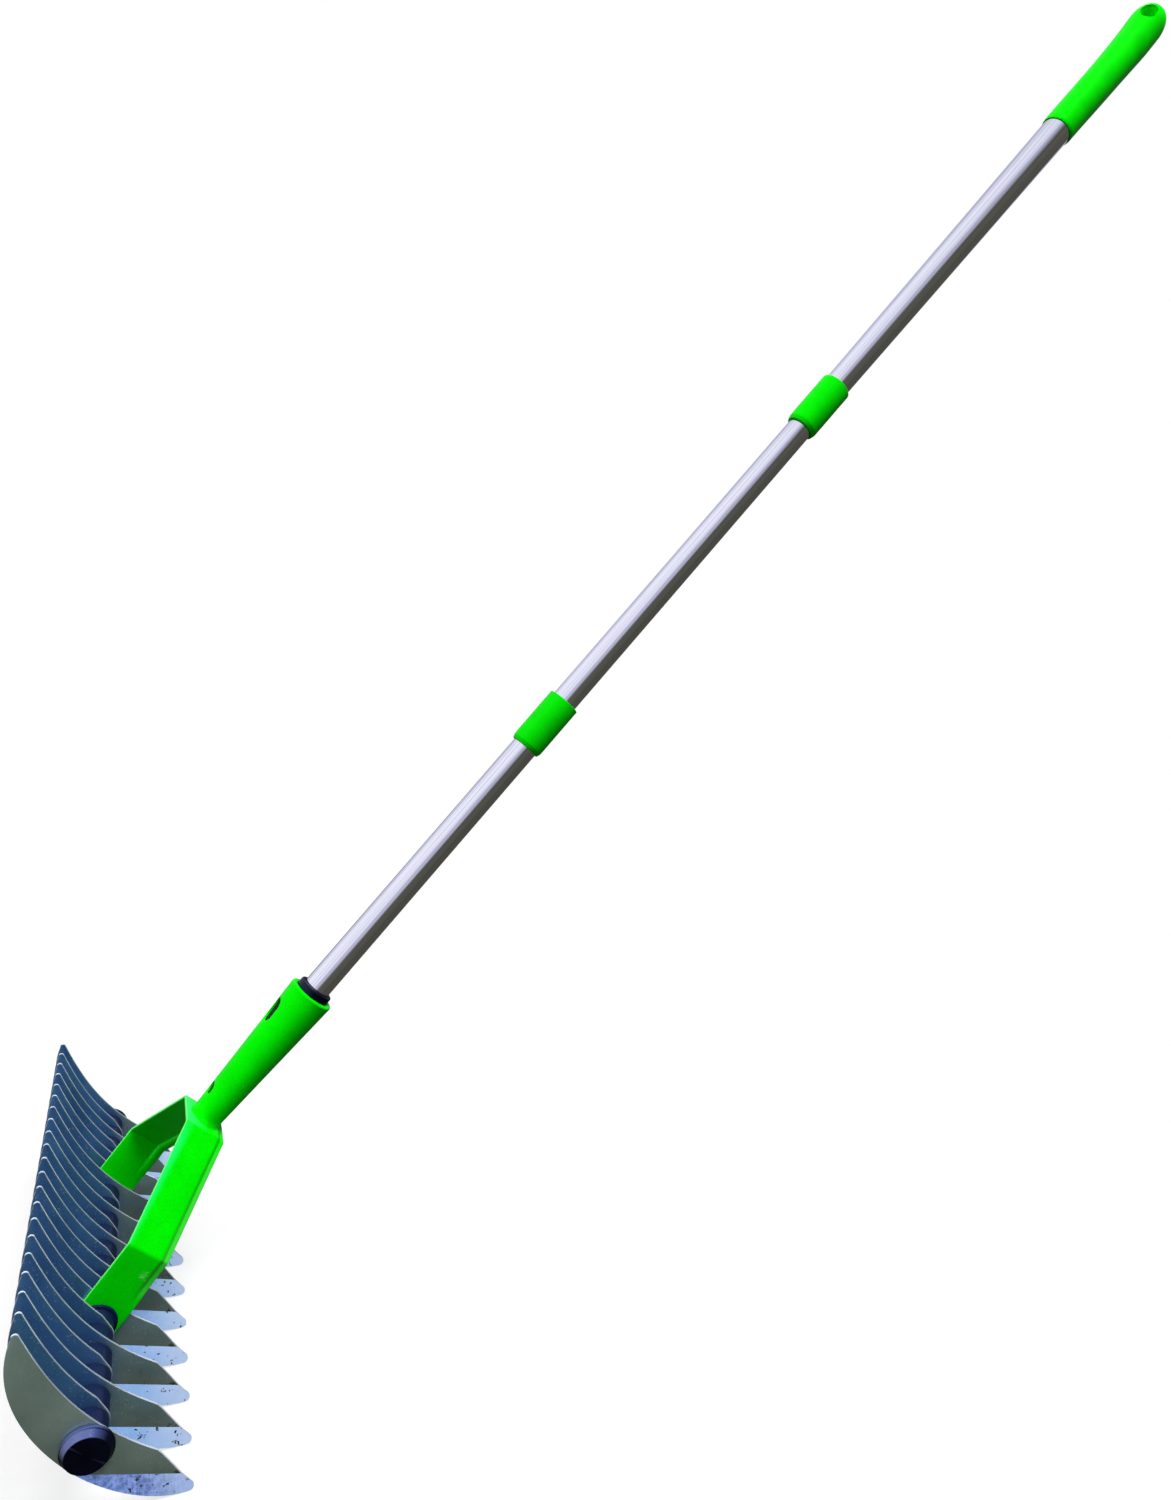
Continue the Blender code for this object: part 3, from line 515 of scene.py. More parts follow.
def raw_mesh(name, verts, faces, basis):
    """Cleaned mesh of points in a local frame, in metres in the row frame."""
    matrix = np.array(basis)
    points = (np.asarray(verts, float) @ matrix[:3, :3].T + matrix[:3, 3]) * MM
    mesh = bpy.data.meshes.new(name)
    mesh.from_pydata(points.tolist(), [], faces)
    bm = bmesh.new()
    bm.from_mesh(mesh)
    bmesh.ops.remove_doubles(bm, verts=bm.verts, dist=2e-6)
    bmesh.ops.dissolve_degenerate(bm, edges=bm.edges, dist=1e-7)
    bmesh.ops.recalc_face_normals(bm, faces=bm.faces)
    bm.to_mesh(mesh)
    bm.free()
    return mesh


def piece(mesh, body, node, materials, angle):
    """A finished visible piece standing for one CAD node.

    The first material names its slot; edges sharper than angle stay sharp.
    """
    obj = link(node + "_v", mesh)
    if not mesh.materials:
        for name in materials:
            mesh.materials.append(MATERIALS[name])
    mesh.shade_smooth()
    mesh.set_sharp_from_angle(angle=math.radians(angle))
    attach(obj, body)
    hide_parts(node)


def carve(mesh, tools):
    """The mesh less its tools, as a new mesh."""
    obj = link("carved", mesh)
    cutters = []
    for k, tool in enumerate(tools):
        cutter = link("tool_%d" % k, tool)
        cutters.append(cutter)
        cut = obj.modifiers.new("cut", "BOOLEAN")
        cut.operation, cut.solver, cut.object = "DIFFERENCE", "EXACT", cutter
    bpy.context.view_layer.update()
    depsgraph = bpy.context.evaluated_depsgraph_get()
    out = bpy.data.meshes.new_from_object(obj.evaluated_get(depsgraph))
    for used in cutters + [obj]:
        bpy.data.objects.remove(used, do_unlink=True)
    return out


def fillet(points, radii, steps=5):
    """Closed polygon with each corner rounded by its own radius."""
    out = []
    for i, radius in enumerate(radii):
        corner = Vector(points[i])
        before = Vector(points[i - 1]) - corner
        after = Vector(points[(i + 1) % len(points)]) - corner
        opening = before.angle(after)
        if radius <= 0 or opening > math.pi - 0.02:      # sharp, or all but straight
            out.append(tuple(corner))
            continue
        reach = min(radius / math.tan(opening / 2), 0.48 * before.length, 0.48 * after.length)
        radius = reach * math.tan(opening / 2)
        before.normalize()
        after.normalize()
        centre = corner + (before + after).normalized() * (radius / math.sin(opening / 2))
        start, end = corner + before * reach - centre, corner + after * reach - centre
        sweep = math.atan2(start.x * end.y - start.y * end.x, start.dot(end))
        for k in range(steps + 1):
            out.append(tuple(centre + Matrix.Rotation(sweep * k / steps, 2) @ start))
    return out


def revolve(rows, count=0, capped=False, angles=None):
    """Rows of (radius or function of angle, z) turned about local z.

    The rows are a closed section, or an open one capped at both ends.
    """
    angles = angles or [2 * math.pi * k / count for k in range(count)]
    width, turns = len(rows), len(angles)
    verts = []
    for angle in angles:
        for radius, z in rows:
            reach = radius(angle) if callable(radius) else radius
            verts.append((reach * math.cos(angle), reach * math.sin(angle), z))
    faces = []
    for k in range(turns):
        j = (k + 1) % turns
        for i in range(width - 1 if capped else width):
            i2 = (i + 1) % width
            faces.append((k * width + i, j * width + i, j * width + i2, k * width + i2))
    if capped:
        faces.append(tuple(k * width for k in range(turns)))
        faces.append(tuple(k * width + width - 1 for k in reversed(range(turns))))
    return verts, faces


def skin(rings):
    """Closed rings of equal length joined in turn, with both ends filled."""
    size, last = len(rings[0]), len(rings) - 1
    verts = [point for ring in rings for point in ring]
    faces = [(k * size + i, k * size + (i + 1) % size,
              (k + 1) * size + (i + 1) % size, (k + 1) * size + i)
             for k in range(last) for i in range(size)]
    faces.append(tuple(range(size)))
    faces.append(tuple(last * size + i for i in reversed(range(size))))
    return verts, faces


def thread(root, depth, pitch, z, fade_in, fade_out):
    """Radius of a right-hand screw at height z as a function of angle."""
    keep = min(1.0, max(0.0, fade_in)) * min(1.0, max(0.0, fade_out))

    def radius(angle):
        phase = (z / pitch - angle / (2 * math.pi)) % 1.0
        flank = (abs(2 * phase - 1) - 0.22) / 0.5
        return root + depth * keep * min(1.0, max(0.0, flank))
    return radius


def bezier(controls, t):
    u = 1.0 - t
    weights = (u ** 3, 3 * u * u * t, 3 * u * t * t, t ** 3)
    return tuple(sum(weights[i] * controls[i][k] for i in range(4)) for k in range(2))


def sample(controls, steps, start=0.0, end=1.0):
    return [bezier(controls, start + (end - start) * k / steps) for k in range(steps + 1)]


def arc(centre, radius, start, end, steps):
    turns = [start + (end - start) * k / steps for k in range(steps + 1)]
    return [(centre[0] + radius * math.cos(turn), centre[1] + radius * math.sin(turn))
            for turn in turns]


def smoothstep(t):
    return t * t * (3 - 2 * t)


# -------------------------------------------------------------------- blades
PITCH, BLADE_T, BORE_R = 19.0, 1.5, 5.3
# outline of a full blade as Bezier controls (y, z) in the axle frame
BACK = ((-33.0, 87.0), (-59.5, 32.5), (5.5, -56.5), (53.6, -55.2))
HOLLOW = ((-28.5, 87.5), (-16.5, 50.0), (-2.0, 16.0), (39.0, -17.2))
TOE = (HOLLOW[-1], (46.0, -28.5), (50.6, -40.0), (56.2, -47.2))
NOSE = (TOE[-1], (58.2, -49.8), (58.6, -54.9), BACK[-1])
EDGE_FALL = 0.075                             # slope of the ground face
# a half blade's eye, and where its neck leaves the two curves
EYE_R, NECK_BACK, NECK_HOLLOW = 12.3, 0.42, 0.67
# across the thickness: (x from the middle plane, inset of the outline)
BLADE_RIM = [(-BLADE_T / 2, 0.24), (-BLADE_T / 2 + 0.07, 0.07), (-BLADE_T / 2 + 0.24, 0.0),
             (BLADE_T / 2 - 0.24, 0.0), (BLADE_T / 2 - 0.07, 0.07), (BLADE_T / 2, 0.24)]


def heel_tip(steps):
    """Half circle over the blade's upper end, without its two end points."""
    start, end = HOLLOW[0], BACK[0]
    centre = ((start[0] + end[0]) / 2, (start[1] + end[1]) / 2)
    turn = math.atan2(start[1] - centre[1], start[0] - centre[0])
    return arc(centre, math.dist(start, end) / 2, turn, turn + math.pi, steps)[1:-1]


def full_outline():
    points = sample(BACK, 72)
    for controls, steps in ((NOSE, 16), (TOE, 16), (HOLLOW, 52)):
        points += sample(controls, steps)[::-1][1:]
    return points + heel_tip(12)


def touch(point, sign):
    """Angle at which the line from the point touches the eye's circle."""
    return math.atan2(point[1], point[0]) + sign * math.acos(EYE_R / math.hypot(*point))


def half_outline():
    start = touch(bezier(BACK, NECK_BACK), 1)
    end = touch(bezier(HOLLOW, NECK_HOLLOW), -1)
    while end < start:
        end += 2 * math.pi
    return (sample(BACK, 36, 0.0, NECK_BACK) + arc((0, 0), EYE_R, start, end, 48)
            + sample(HOLLOW, 34, 0.0, NECK_HOLLOW)[::-1] + heel_tip(12))


def offset(loop, inset):
    """Counter-clockwise loop moved inwards, mitres limited."""
    out = []
    for i, point in enumerate(loop):
        before, here, after = Vector(loop[i - 1]), Vector(point), Vector(loop[(i + 1) % len(loop)])
        way_in, way_out = (here - before).normalized(), (after - here).normalized()
        inward = Vector((-way_in.y, way_in.x))
        mitre = Vector((-way_in.y - way_out.y, way_in.x + way_out.x))
        mitre = mitre.normalized() if mitre.length > 1e-9 else inward
        out.append(tuple(here + mitre * (inset / max(0.6, mitre.dot(inward)))))
    return out


def grind_toe(bm):
    """Cut the +x face off below the edge line by a slightly sloping plane."""
    (y0, z0), (y1, z1) = EDGE_LINE
    length = math.dist(*EDGE_LINE)
    normal = Vector((1.0, EDGE_FALL * (z1 - z0) / length,
                     -EDGE_FALL * (y1 - y0) / length)).normalized()
    bmesh.ops.bisect_plane(bm, geom=bm.verts[:] + bm.edges[:] + bm.faces[:], dist=1e-7,
                           plane_co=Vector((BLADE_T / 2 * MM, y0 * MM, z0 * MM)),
                           plane_no=normal, clear_outer=True)
    before = set(bm.faces)
    bmesh.ops.holes_fill(bm, edges=[edge for edge in bm.edges if edge.is_boundary], sides=0)
    fresh = [face for face in bm.faces if face not in before]
    for face in fresh:
        face.material_index = 1
    bmesh.ops.triangulate(bm, faces=[face for face in fresh if len(face.verts) > 4])
    bmesh.ops.recalc_face_normals(bm, faces=bm.faces)


def blade_mesh(name, outline, ground):
    """Plate with softened rims; material 0 faces, 1 ground toe, 2 thickness."""
    hole = arc((0, 0), BORE_R, 0, -2 * math.pi, 48)[:-1]
    last = len(BLADE_RIM) - 1
    bm = bmesh.new()
    side_edges = {0: [], last: []}
    for loop in (outline, hole):
        rings = [[bm.verts.new((x * MM, y * MM, z * MM)) for y, z in offset(loop, inset)]
                 for x, inset in BLADE_RIM]
        size = len(loop)
        for k in range(last):
            for i in range(size):
                j = (i + 1) % size
                face = bm.faces.new((rings[k][i], rings[k][j], rings[k + 1][j], rings[k + 1][i]))
                face.material_index = 2
        for k in side_edges:
            side_edges[k] += [bm.edges.get((rings[k][i], rings[k][(i + 1) % size]))
                              for i in range(size)]
    for edges in side_edges.values():
        bmesh.ops.triangle_fill(bm, use_beauty=True, use_dissolve=False, edges=edges)
    bmesh.ops.recalc_face_normals(bm, faces=bm.faces)
    if ground:
        grind_toe(bm)
    bmesh.ops.translate(bm, vec=AXLE_AT * MM, verts=bm.verts)
    mesh = bpy.data.meshes.new(name)
    bm.to_mesh(mesh)
    bm.free()
    return mesh


def build_blades():
    """Full and half blades in turn along the axle, full ones at both ends."""
    full = blade_mesh("full_blade", full_outline(), True)
    half = blade_mesh("half_blade", half_outline(), False)
    for i in range(21):
        kind, source = ("half", half) if i % 2 else ("full", full)
        mesh = source.copy()
        mesh.transform(Matrix.Translation(((i - 10) * PITCH * MM, 0, 0)))
        piece(mesh, "head", "blade_%s_%02d" % (kind, i // 2 + 1),
              ("blade_steel", "blade_ground", "blade_edge"), 25)


# ------------------------------------------------------- axle, sleeves, caps
LEG_BLADE = 4                                 # blade just inside each yoke leg, from the middle
FACE = BLADE_T / 2 + GAP                      # blade's middle to a sleeve's end
LEG_X = LEG_BLADE * PITCH + FACE + YOKE_T / 2
LEG_OUTER_X = LEG_X + YOKE_T / 2
SLEEVE_R, FLANGE_R, FLANGE_T = 11.8, 14.5, 2.5
NUT_AF, NUT_T, ROD_R = 17.0, 5.0, 5.0         # NUT_AF: across the flats
CAP_R, CAP_FACE_R, CAP_L, CAP_WALL = 16.0, 13.0, 7.2, 1.0
SEAT = 10 * PITCH + FACE                      # x of the nuts and end caps
NUT_CHAMFER = 0.45


def sleeve(length, flanged):
    if flanged:
        points = [(BORE_R, 0), (BORE_R, length), (SLEEVE_R, length), (SLEEVE_R, FLANGE_T),
                  (FLANGE_R, FLANGE_T), (FLANGE_R, 0)]
        radii = [0.3, 0.3, 0.7, 0.8, 0.7, 0.4]
    else:
        # faint waist where the two mould halves draw the wall in
        waist = SLEEVE_R - 0.12
        points = [(BORE_R, 0), (BORE_R, length), (SLEEVE_R, length), (waist, length * 0.72),
                  (waist, length * 0.28), (SLEEVE_R, 0)]
        radii = [0.3, 0.3, 0.7, 0, 0, 0.7]

    def wall(radius):
        """Adds the mould's parting ridge to the outer wall."""
        if radius < SLEEVE_R - 1.2:
            return radius
        return lambda angle: radius + 0.10 * max(
            0.0, 1 - abs((angle + math.pi) % math.pi - math.pi / 2) / 0.05)
    return revolve([(wall(radius), z) for radius, z in fillet(points, radii, 4)], 72)


def build_sleeves():
    """A sleeve between each two blades; flanged ones outside the yoke's legs."""
    plain_length = PITCH - 2 * FACE
    short_length = plain_length - YOKE_T - GAP
    flange_x = LEG_OUTER_X + GAP
    number = 0
    for k in range(-10, 10):
        if k == LEG_BLADE:
            node, shape = "leg_sleeve_right", sleeve(short_length, True)
            basis = on_axle(flange_x)
        elif k == -LEG_BLADE - 1:
            node, shape = "leg_sleeve_left", sleeve(short_length, True)
            basis = on_axle(-flange_x, -1)
        else:
            number += 1
            node, shape = "sleeve_%02d" % number, sleeve(plain_length, False)
            basis = on_axle(k * PITCH + FACE)
        piece(raw_mesh(node, *shape, basis), "head", node, ("black_plastic",), 50)


def build_rod():
    """Rod with rolled threads under both nuts."""
    half = SEAT + NUT_T + 0.8
    threaded = NUT_T + 3.0
    steps = int(threaded / 0.125)

    def end_thread(sign):
        rows = []
        for k in range(steps + 1):
            inside = 0.5 + (NUT_T + 2.5) * k / steps          # from the end inwards
            z = sign * (half - inside)
            rows.append((thread(ROD_R - 0.85, 0.85, 1.5, z, inside / 1.2,
                                (threaded - inside) / 0.8), z))
        return rows
    shank_r, shank_end = ROD_R - 0.02, half - NUT_T - 3.6
    rows = ([(ROD_R - 0.9, -half)] + end_thread(-1) + [(shank_r, -shank_end), (shank_r, shank_end)]
            + end_thread(1)[::-1] + [(ROD_R - 0.9, half)])
    piece(raw_mesh("axle_rod", *revolve(rows, 40, capped=True), on_axle(0)), "head", "axle_rod",
          ("zinc_steel",), 35)


def hex_nut():
    def hexagon(z):
        cone = NUT_AF / 2 * 1.005 + min(z, NUT_T - z) * 1.9      # chamfered corners
        return lambda angle: min(
            NUT_AF / 2 / math.cos(angle % (math.pi / 3) - math.pi / 6), cone)
    low = (0, 0.12, 0.25, 0.4, 0.55, 0.7, 1.0)
    heights = [*low, NUT_T / 2, *(NUT_T - z for z in reversed(low))]
    mouth_r = BORE_R + NUT_CHAMFER
    return revolve([(mouth_r, 0.0)] + [(hexagon(z), z) for z in heights]
                   + [(mouth_r, NUT_T), (BORE_R, NUT_T - NUT_CHAMFER), (BORE_R, NUT_CHAMFER)], 72)


def end_cap():
    """Turned from the middle of the inner roof, out round the rim, to the face."""
    inner = NUT_AF / math.sqrt(3) + 0.5
    roof = CAP_L - CAP_WALL
    points = [(2.0, roof), (inner, roof), (inner, 0.0), (CAP_R, 0.0), (CAP_R, 2.2),
              (CAP_R - 0.8, 2.7), (CAP_FACE_R, CAP_L), (3.0, CAP_L)]
    return revolve(fillet(points, [0, 0.5, 0.3, 0.5, 0.6, 0.5, 0.9, 0], 7), 112, capped=True)


def build_axle_ends():
    nut, cap = hex_nut(), end_cap()
    for side, sign in (("left", -1), ("right", 1)):
        basis = on_axle(sign * SEAT, sign)
        for node, shape, material, angle in (("nut_" + side, nut, "zinc_steel", 25),
                                             ("end_cap_" + side, cap, "black_plastic", 50)):
            piece(raw_mesh(node, *shape, basis), "head", node, (material,), angle)


# ---------------------------------------------------------------------- yoke
# bend points of the strip's outer face, and its edges above and below the axis
LEG_TOP, PLATE_HALF, STRIP_UP, STRIP_LOW = -67.0, 19.4, 17.5, 18.7
LEG_LEAN, LEG_LOW, LEG_END_R, BEND_R = 4.8, 21.8, 17.0, 4.5
LEG_Z, LEG_RISE = -106.0, 29.0                # straight part of the leg's sections
FLANGE_W, STEP_W, STEP_D = 4.0, 2.2, 2.2
STRIP_EDGE_R = 0.62
# stations round the leg's foot, in degrees below the axle
FOOT_DEGREES = (86, 82, 76, 70, 63, 56, 48, 40, 32, 24, 16, 8, 0)


def strip_section(y_up, y_low, grown):
    """Cross-section (y, depth) of the pressed strip: a flat face, and a
    flange that steps back along its lower edge by as much as it has grown."""
    step = STEP_D * grown
    step_end = y_low - FLANGE_W
    step_start = step_end - STEP_W
    mitre = YOKE_T * math.tan(math.atan2(step, STEP_W) / 2)
    edge = STRIP_EDGE_R

    def soft(t, blend):
        """max(0, t), rounded over -blend to blend."""
        return 0.0 if t < -blend else t if t > blend else (t + blend) ** 2 / (4 * blend)

    def face(shift, first, second):
        """(y, depth) over one face; first and second round the step's bends."""
        flat = y_up + edge
        start = step_start - shift - first
        end = step_end - shift
        stops = ([flat + (start - flat) * k / 5 for k in range(1, 5)]
                 + [start + 2 * first * k / 6 for k in range(4)]
                 + [end + second * (k / 2 - 1) for k in range(5)]
                 + [end + second + (y_low - edge - end - second) * k / 3 for k in (1, 2)])
        return [(y, step / STEP_W * (soft(y - step_start + shift, first)
                                     - soft(y - step_end + shift, second))) for y in stops]

    def edge_arc(y, depth, quarter):
        return arc((y, depth), edge, math.pi / 2 * quarter, math.pi / 2 * (quarter + 1), 4)
    wide, tight = 1.5, 0.55
    return (edge_arc(y_up + edge, edge, 2)
            + face(0.0, wide, tight)
            + edge_arc(y_low - edge, step + edge, -1)
            + edge_arc(y_low - edge, step + YOKE_T - edge, 0)
            + [(y, YOKE_T + depth) for y, depth in reversed(face(mitre, tight, wide))]
            + edge_arc(y_up + edge, YOKE_T - edge, 1))


def bend(point, way_in, way_out, share):
    """Place (x, z) at a depth below the strip's outer face, part way round a bend."""
    normal_in = Vector((-way_in.y, way_in.x))
    normal_out = Vector((-way_out.y, way_out.x))
    middle = (normal_in + normal_out).normalized()
    half = way_in.angle(way_out) / 2

    def where(depth):
        corner = point + middle * (depth / middle.dot(normal_in))
        radius = max(BEND_R - depth, 0.5)
        centre = corner + middle * (radius / math.cos(half))
        return centre + (Matrix.Rotation(-half + 2 * half * share, 2) @ -middle) * radius
    return where


def yoke_shape():
    """Right half from the foot up to the plate, then its mirror image."""
    leg_bend, plate_bend = Vector((LEG_OUTER_X, LEG_TOP)), Vector((PLATE_HALF, YOKE_T))
    up, arm, flat = Vector((0.0, 1.0)), (plate_bend - leg_bend).normalized(), Vector((-1.0, 0.0))
    rings = []

    def add_ring(where, section):
        rings.append([(where(depth).x, y, where(depth).y) for y, depth in section])

    def on_leg(z):
        return lambda depth: Vector((LEG_OUTER_X - depth, z))
    for degrees in FOOT_DEGREES:
        turn = math.radians(degrees)
        add_ring(on_leg(-AXLE_DROP - LEG_END_R * math.sin(turn)),
                 [(AXLE_OFFSET + y * math.cos(turn), depth)
                  for y, depth in strip_section(-LEG_END_R, LEG_END_R, 0.0)])
    foot_low = AXLE_OFFSET + LEG_END_R
    for k in range(10):
        z = LEG_Z + LEG_RISE * k / 9
        share = (z + AXLE_DROP) / (LEG_TOP + AXLE_DROP)
        centre = AXLE_OFFSET + (LEG_LEAN - AXLE_OFFSET) * share
        reach_up = LEG_END_R + (STRIP_UP - LEG_END_R) * share
        add_ring(on_leg(z), strip_section(centre - reach_up,
                                          foot_low + (LEG_LOW - foot_low) * share,
                                          smoothstep(k / 9)))
    for point, way_in, way_out, y_up, y_low in (
            (leg_bend, up, arm, LEG_LEAN - STRIP_UP, LEG_LOW),
            (plate_bend, arm, flat, -STRIP_UP, STRIP_LOW)):
        for k in range(11):
            add_ring(bend(point, way_in, way_out, k / 10), strip_section(y_up, y_low, 1.0))
    rings += [[(-x, y, z) for x, y, z in ring] for ring in reversed(rings)]
    return skin(rings)


def build_yoke():
    mesh = raw_mesh("yoke_raw", *yoke_shape(), HANDLE)
    drill = revolve([(BORE_R, -110.0), (BORE_R, 110.0)], 48, capped=True)
    mesh = carve(mesh, [raw_mesh("drill", *drill, on_axle(0))])
    piece(mesh, "head", "yoke", ("green_paint",), 35)


# --------------------------------------------------------- socket and insert
SOCKET_FOOT_R, SOCKET_MOUTH_R, SOCKET_TOP, SOCKET_T, MOUTH_R = 12.5, 19.0, 127.5, 1.8, 14.8
SOCKET_ROLL_R, BEAD_H = 1.5, 4.6
INSERT_FOOT, INSERT_TOP, INSERT_RIM_R = 62.0, 133.0, 14.4
TUBE_R, TUBE_T, PLUG_R, THREAD_BORE_R, TUBE_BORE_R, SHANK_R = 11.0, 0.8, 9.0, 9.3, 11.3, 9.9
FLARE_R, UPPER_TUBE_R, GRIP_BORE_R = 11.4, 13.5, 13.8
THREAD_L, MOUTH_L, SOCKET_MOUTH_L, FOOT_L, SHANK_L = 18.0, 12.0, 31.0, 20.0, 24.0
THREAD_PITCH, THREAD_RUNOUT = 4.0, 4.0
# a slot cutter's rings: (growth of the stadium, depth inside the outer wall)
SLOT_RINGS = ((0.0, 7.0), (0.0, 0.55), (0.06, 0.30), (0.20, 0.12), (0.42, 0.0),
              (0.8, -0.08), (0.8, -9.0))


def bore_thread(top, foot, inset, steps):
    """Rows of an internal thread from top down to foot, inset at both."""
    rows = []
    for k in range(steps + 1):
        z = top - inset - (top - foot - 2 * inset) * k / steps
        rows.append((thread(THREAD_BORE_R, 0.95, THREAD_PITCH, z, (top - z) / 2.0,
                            (z - foot) / 2.0), z))
    return rows


def socket_radius(z):
    return SOCKET_FOOT_R + (SOCKET_MOUTH_R - SOCKET_FOOT_R) * (z - YOKE_T) / (SOCKET_TOP - YOKE_T)


def slot_tool(centre, length, width):
    """Stadium cutter on the upper side, flared where it meets the wall."""
    rings = []
    half = length / 2 - width / 2
    for growth, past in SLOT_RINGS:
        radius = width / 2 + growth
        ring = []
        for x, z in (arc((0, half), radius, 0, math.pi, 16)
                     + arc((0, -half), radius, math.pi, 2 * math.pi, 16)):
            wall = socket_radius(centre + z)
            ring.append((x, -math.sqrt(wall * wall - x * x) + past, centre + z))
        rings.append(ring)
    return skin(rings)


def build_socket():
    """Cone with a weld bead at its foot and a seam down its lower side."""
    foot = YOKE_T + GAP
    seam = math.pi / 2
    angles = sorted(set([round(2 * math.pi * k / 120, 6) for k in range(120)]
                        + [round(seam + turn, 6) for turn in
                           (-0.03, -0.022, -0.015, -0.008, 0.0, 0.008, 0.015, 0.022, 0.03)]))

    def bead(z, angle):
        rise = (z - foot) / 4.2
        if rise > 1:
            return 0.0
        ripple = (1.0 + 0.08 * math.sin(34 * angle + 0.8 * math.sin(3 * angle))
                  + 0.06 * math.sin(7 * angle + 1.0))
        return 1.1 * ripple * (1 - rise) ** 1.7

    def outer(z, inset=0.0):
        def radius(angle):
            off_seam = (angle - seam + math.pi) % (2 * math.pi) - math.pi
            groove = 0.32 * max(0.0, 1 - abs(off_seam) / 0.022) if z > foot + 3 else 0.0
            return socket_radius(z) + bead(z, angle) - groove - inset
        return radius

    def inner(z):
        return lambda angle: socket_radius(z) - SOCKET_T
    heights = [foot + BEAD_H * k / 12 for k in range(13)]
    heights += [foot + BEAD_H + (SOCKET_TOP - 1.6 - foot - BEAD_H) * k / 26 for k in range(1, 27)]
    rows = [(outer(z), z) for z in heights]
    # mouth rolled in over the insert's shoulder
    roll = SOCKET_ROLL_R
    for k in range(1, 9):
        turn = math.pi / 2 * k / 8
        rows.append((outer(SOCKET_TOP, roll - roll * math.cos(turn)),
                     SOCKET_TOP - roll + roll * math.sin(turn)))
    rows += [(MOUTH_R + 0.5, SOCKET_TOP), (MOUTH_R + 0.15, SOCKET_TOP - 0.15),
             (MOUTH_R, SOCKET_TOP - 0.5), (MOUTH_R, SOCKET_TOP - SOCKET_T)]
    rows += [(inner(z), z) for z in (SOCKET_TOP - SOCKET_T, 90.0, 60.0, 30.0, foot + 0.5, foot)]
    mesh = raw_mesh("socket_raw", *revolve(rows, angles=angles), HANDLE)
    mesh = carve(mesh, [raw_mesh("slot", *slot_tool(100.0, 21.0, 12.5), HANDLE),
                        raw_mesh("vent", *slot_tool(24.0, 10.5, 9.0), HANDLE)])
    piece(mesh, "head", "socket", ("green_paint",), 35)


def build_insert():
    """Lining of the socket that takes the lowest tube and its screw."""
    clear = SOCKET_T + GAP
    top = INSERT_TOP - SOCKET_MOUTH_L
    shoulder = SOCKET_TOP - SOCKET_T - GAP
    thread_foot = top - THREAD_L - THREAD_RUNOUT
    points = [(THREAD_BORE_R + 0.9, INSERT_FOOT), (socket_radius(INSERT_FOOT) - clear, INSERT_FOOT),
              (socket_radius(shoulder) - clear - 0.3, shoulder),
              (INSERT_RIM_R, shoulder), (INSERT_RIM_R, INSERT_TOP), (TUBE_BORE_R, INSERT_TOP),
              (TUBE_BORE_R, top), (THREAD_BORE_R, top), (THREAD_BORE_R, thread_foot)]
    # the thread's rows stand in for the last two points
    rows = fillet(points, [0.3, 0.6, 0.4, 0.3, 1.0, 0.5, 0.2, 0, 0])[:-2]
    rows += bore_thread(top, thread_foot, 0.0, 104)
    piece(raw_mesh("insert", *revolve(rows, 72), HANDLE), "head", "socket_insert",
          ("black_plastic",), 40)


# -------------------------------------------------------------------- handle
COLLAR_R, COLLAR_L, COLLAR_1, COLLAR_2 = 13.9, 50.0, 388.0, 752.0
GRIP_FOOT, GRIP_END, GRIP_BORE_END = 1122.0, 1277.0, 1240.0
HANG_Z, HANG_R, HANG_TURN = 1260.0, 5.6, 40.0        # hanging hole; its turn in degrees


def tube_mesh(name, rows, z):
    """Turned tube; u is the angle about the handle, v the length in metres."""
    basis = up_handle(z)
    mesh = raw_mesh(name, *revolve(rows, 128), basis)
    layer = mesh.uv_layers.new(name="along")
    coords = np.empty(len(mesh.vertices) * 3)
    mesh.vertices.foreach_get("co", coords)
    inverse = np.array(basis.inverted())
    local = (coords.reshape(-1, 3) / MM) @ inverse[:3, :3].T + inverse[:3, 3]
    around = np.arctan2(local[:, 1], local[:, 0]) / (2 * math.pi)
    for polygon in mesh.polygons:
        corners = [mesh.loops[i].vertex_index for i in polygon.loop_indices]
        turns = [around[i] for i in corners]
        if max(turns) - min(turns) > 0.5:
            turns = [turn + 1 if turn < 0 else turn for turn in turns]
        for loop, corner, turn in zip(polygon.loop_indices, corners, turns):
            layer.data[loop].uv = (turn, local[corner, 2] * MM)
    return mesh


def upper_tube(length, z):
    """Section that widens from its collar up to the grip."""
    wall = [(TUBE_R, 0.0), (TUBE_R, MOUTH_L), (FLARE_R, MOUTH_L + 6.0),
            (UPPER_TUBE_R, GRIP_FOOT - COLLAR_2 - COLLAR_L + MOUTH_L), (UPPER_TUBE_R, length)]
    inner = [(radius - TUBE_T, height) for radius, height in reversed(wall)]
    radii = [0.35, 4.0, 9.0, 30.0, 0.35, 0.2, 30.0, 9.0, 4.0, 0.2]
    return tube_mesh("tube_upper", fillet(wall + inner, radii, 6), z)


def plain_tube(name, length, z):
    inner_r = TUBE_R - TUBE_T
    points = ([(inner_r, 0)] + [(TUBE_R, length * share) for share in (0, 0.25, 0.5, 0.75, 1)]
              + [(inner_r, length)])
    return tube_mesh(name, fillet(points, [0.2, 0.35, 0, 0, 0, 0.35, 0.2], 4), z)


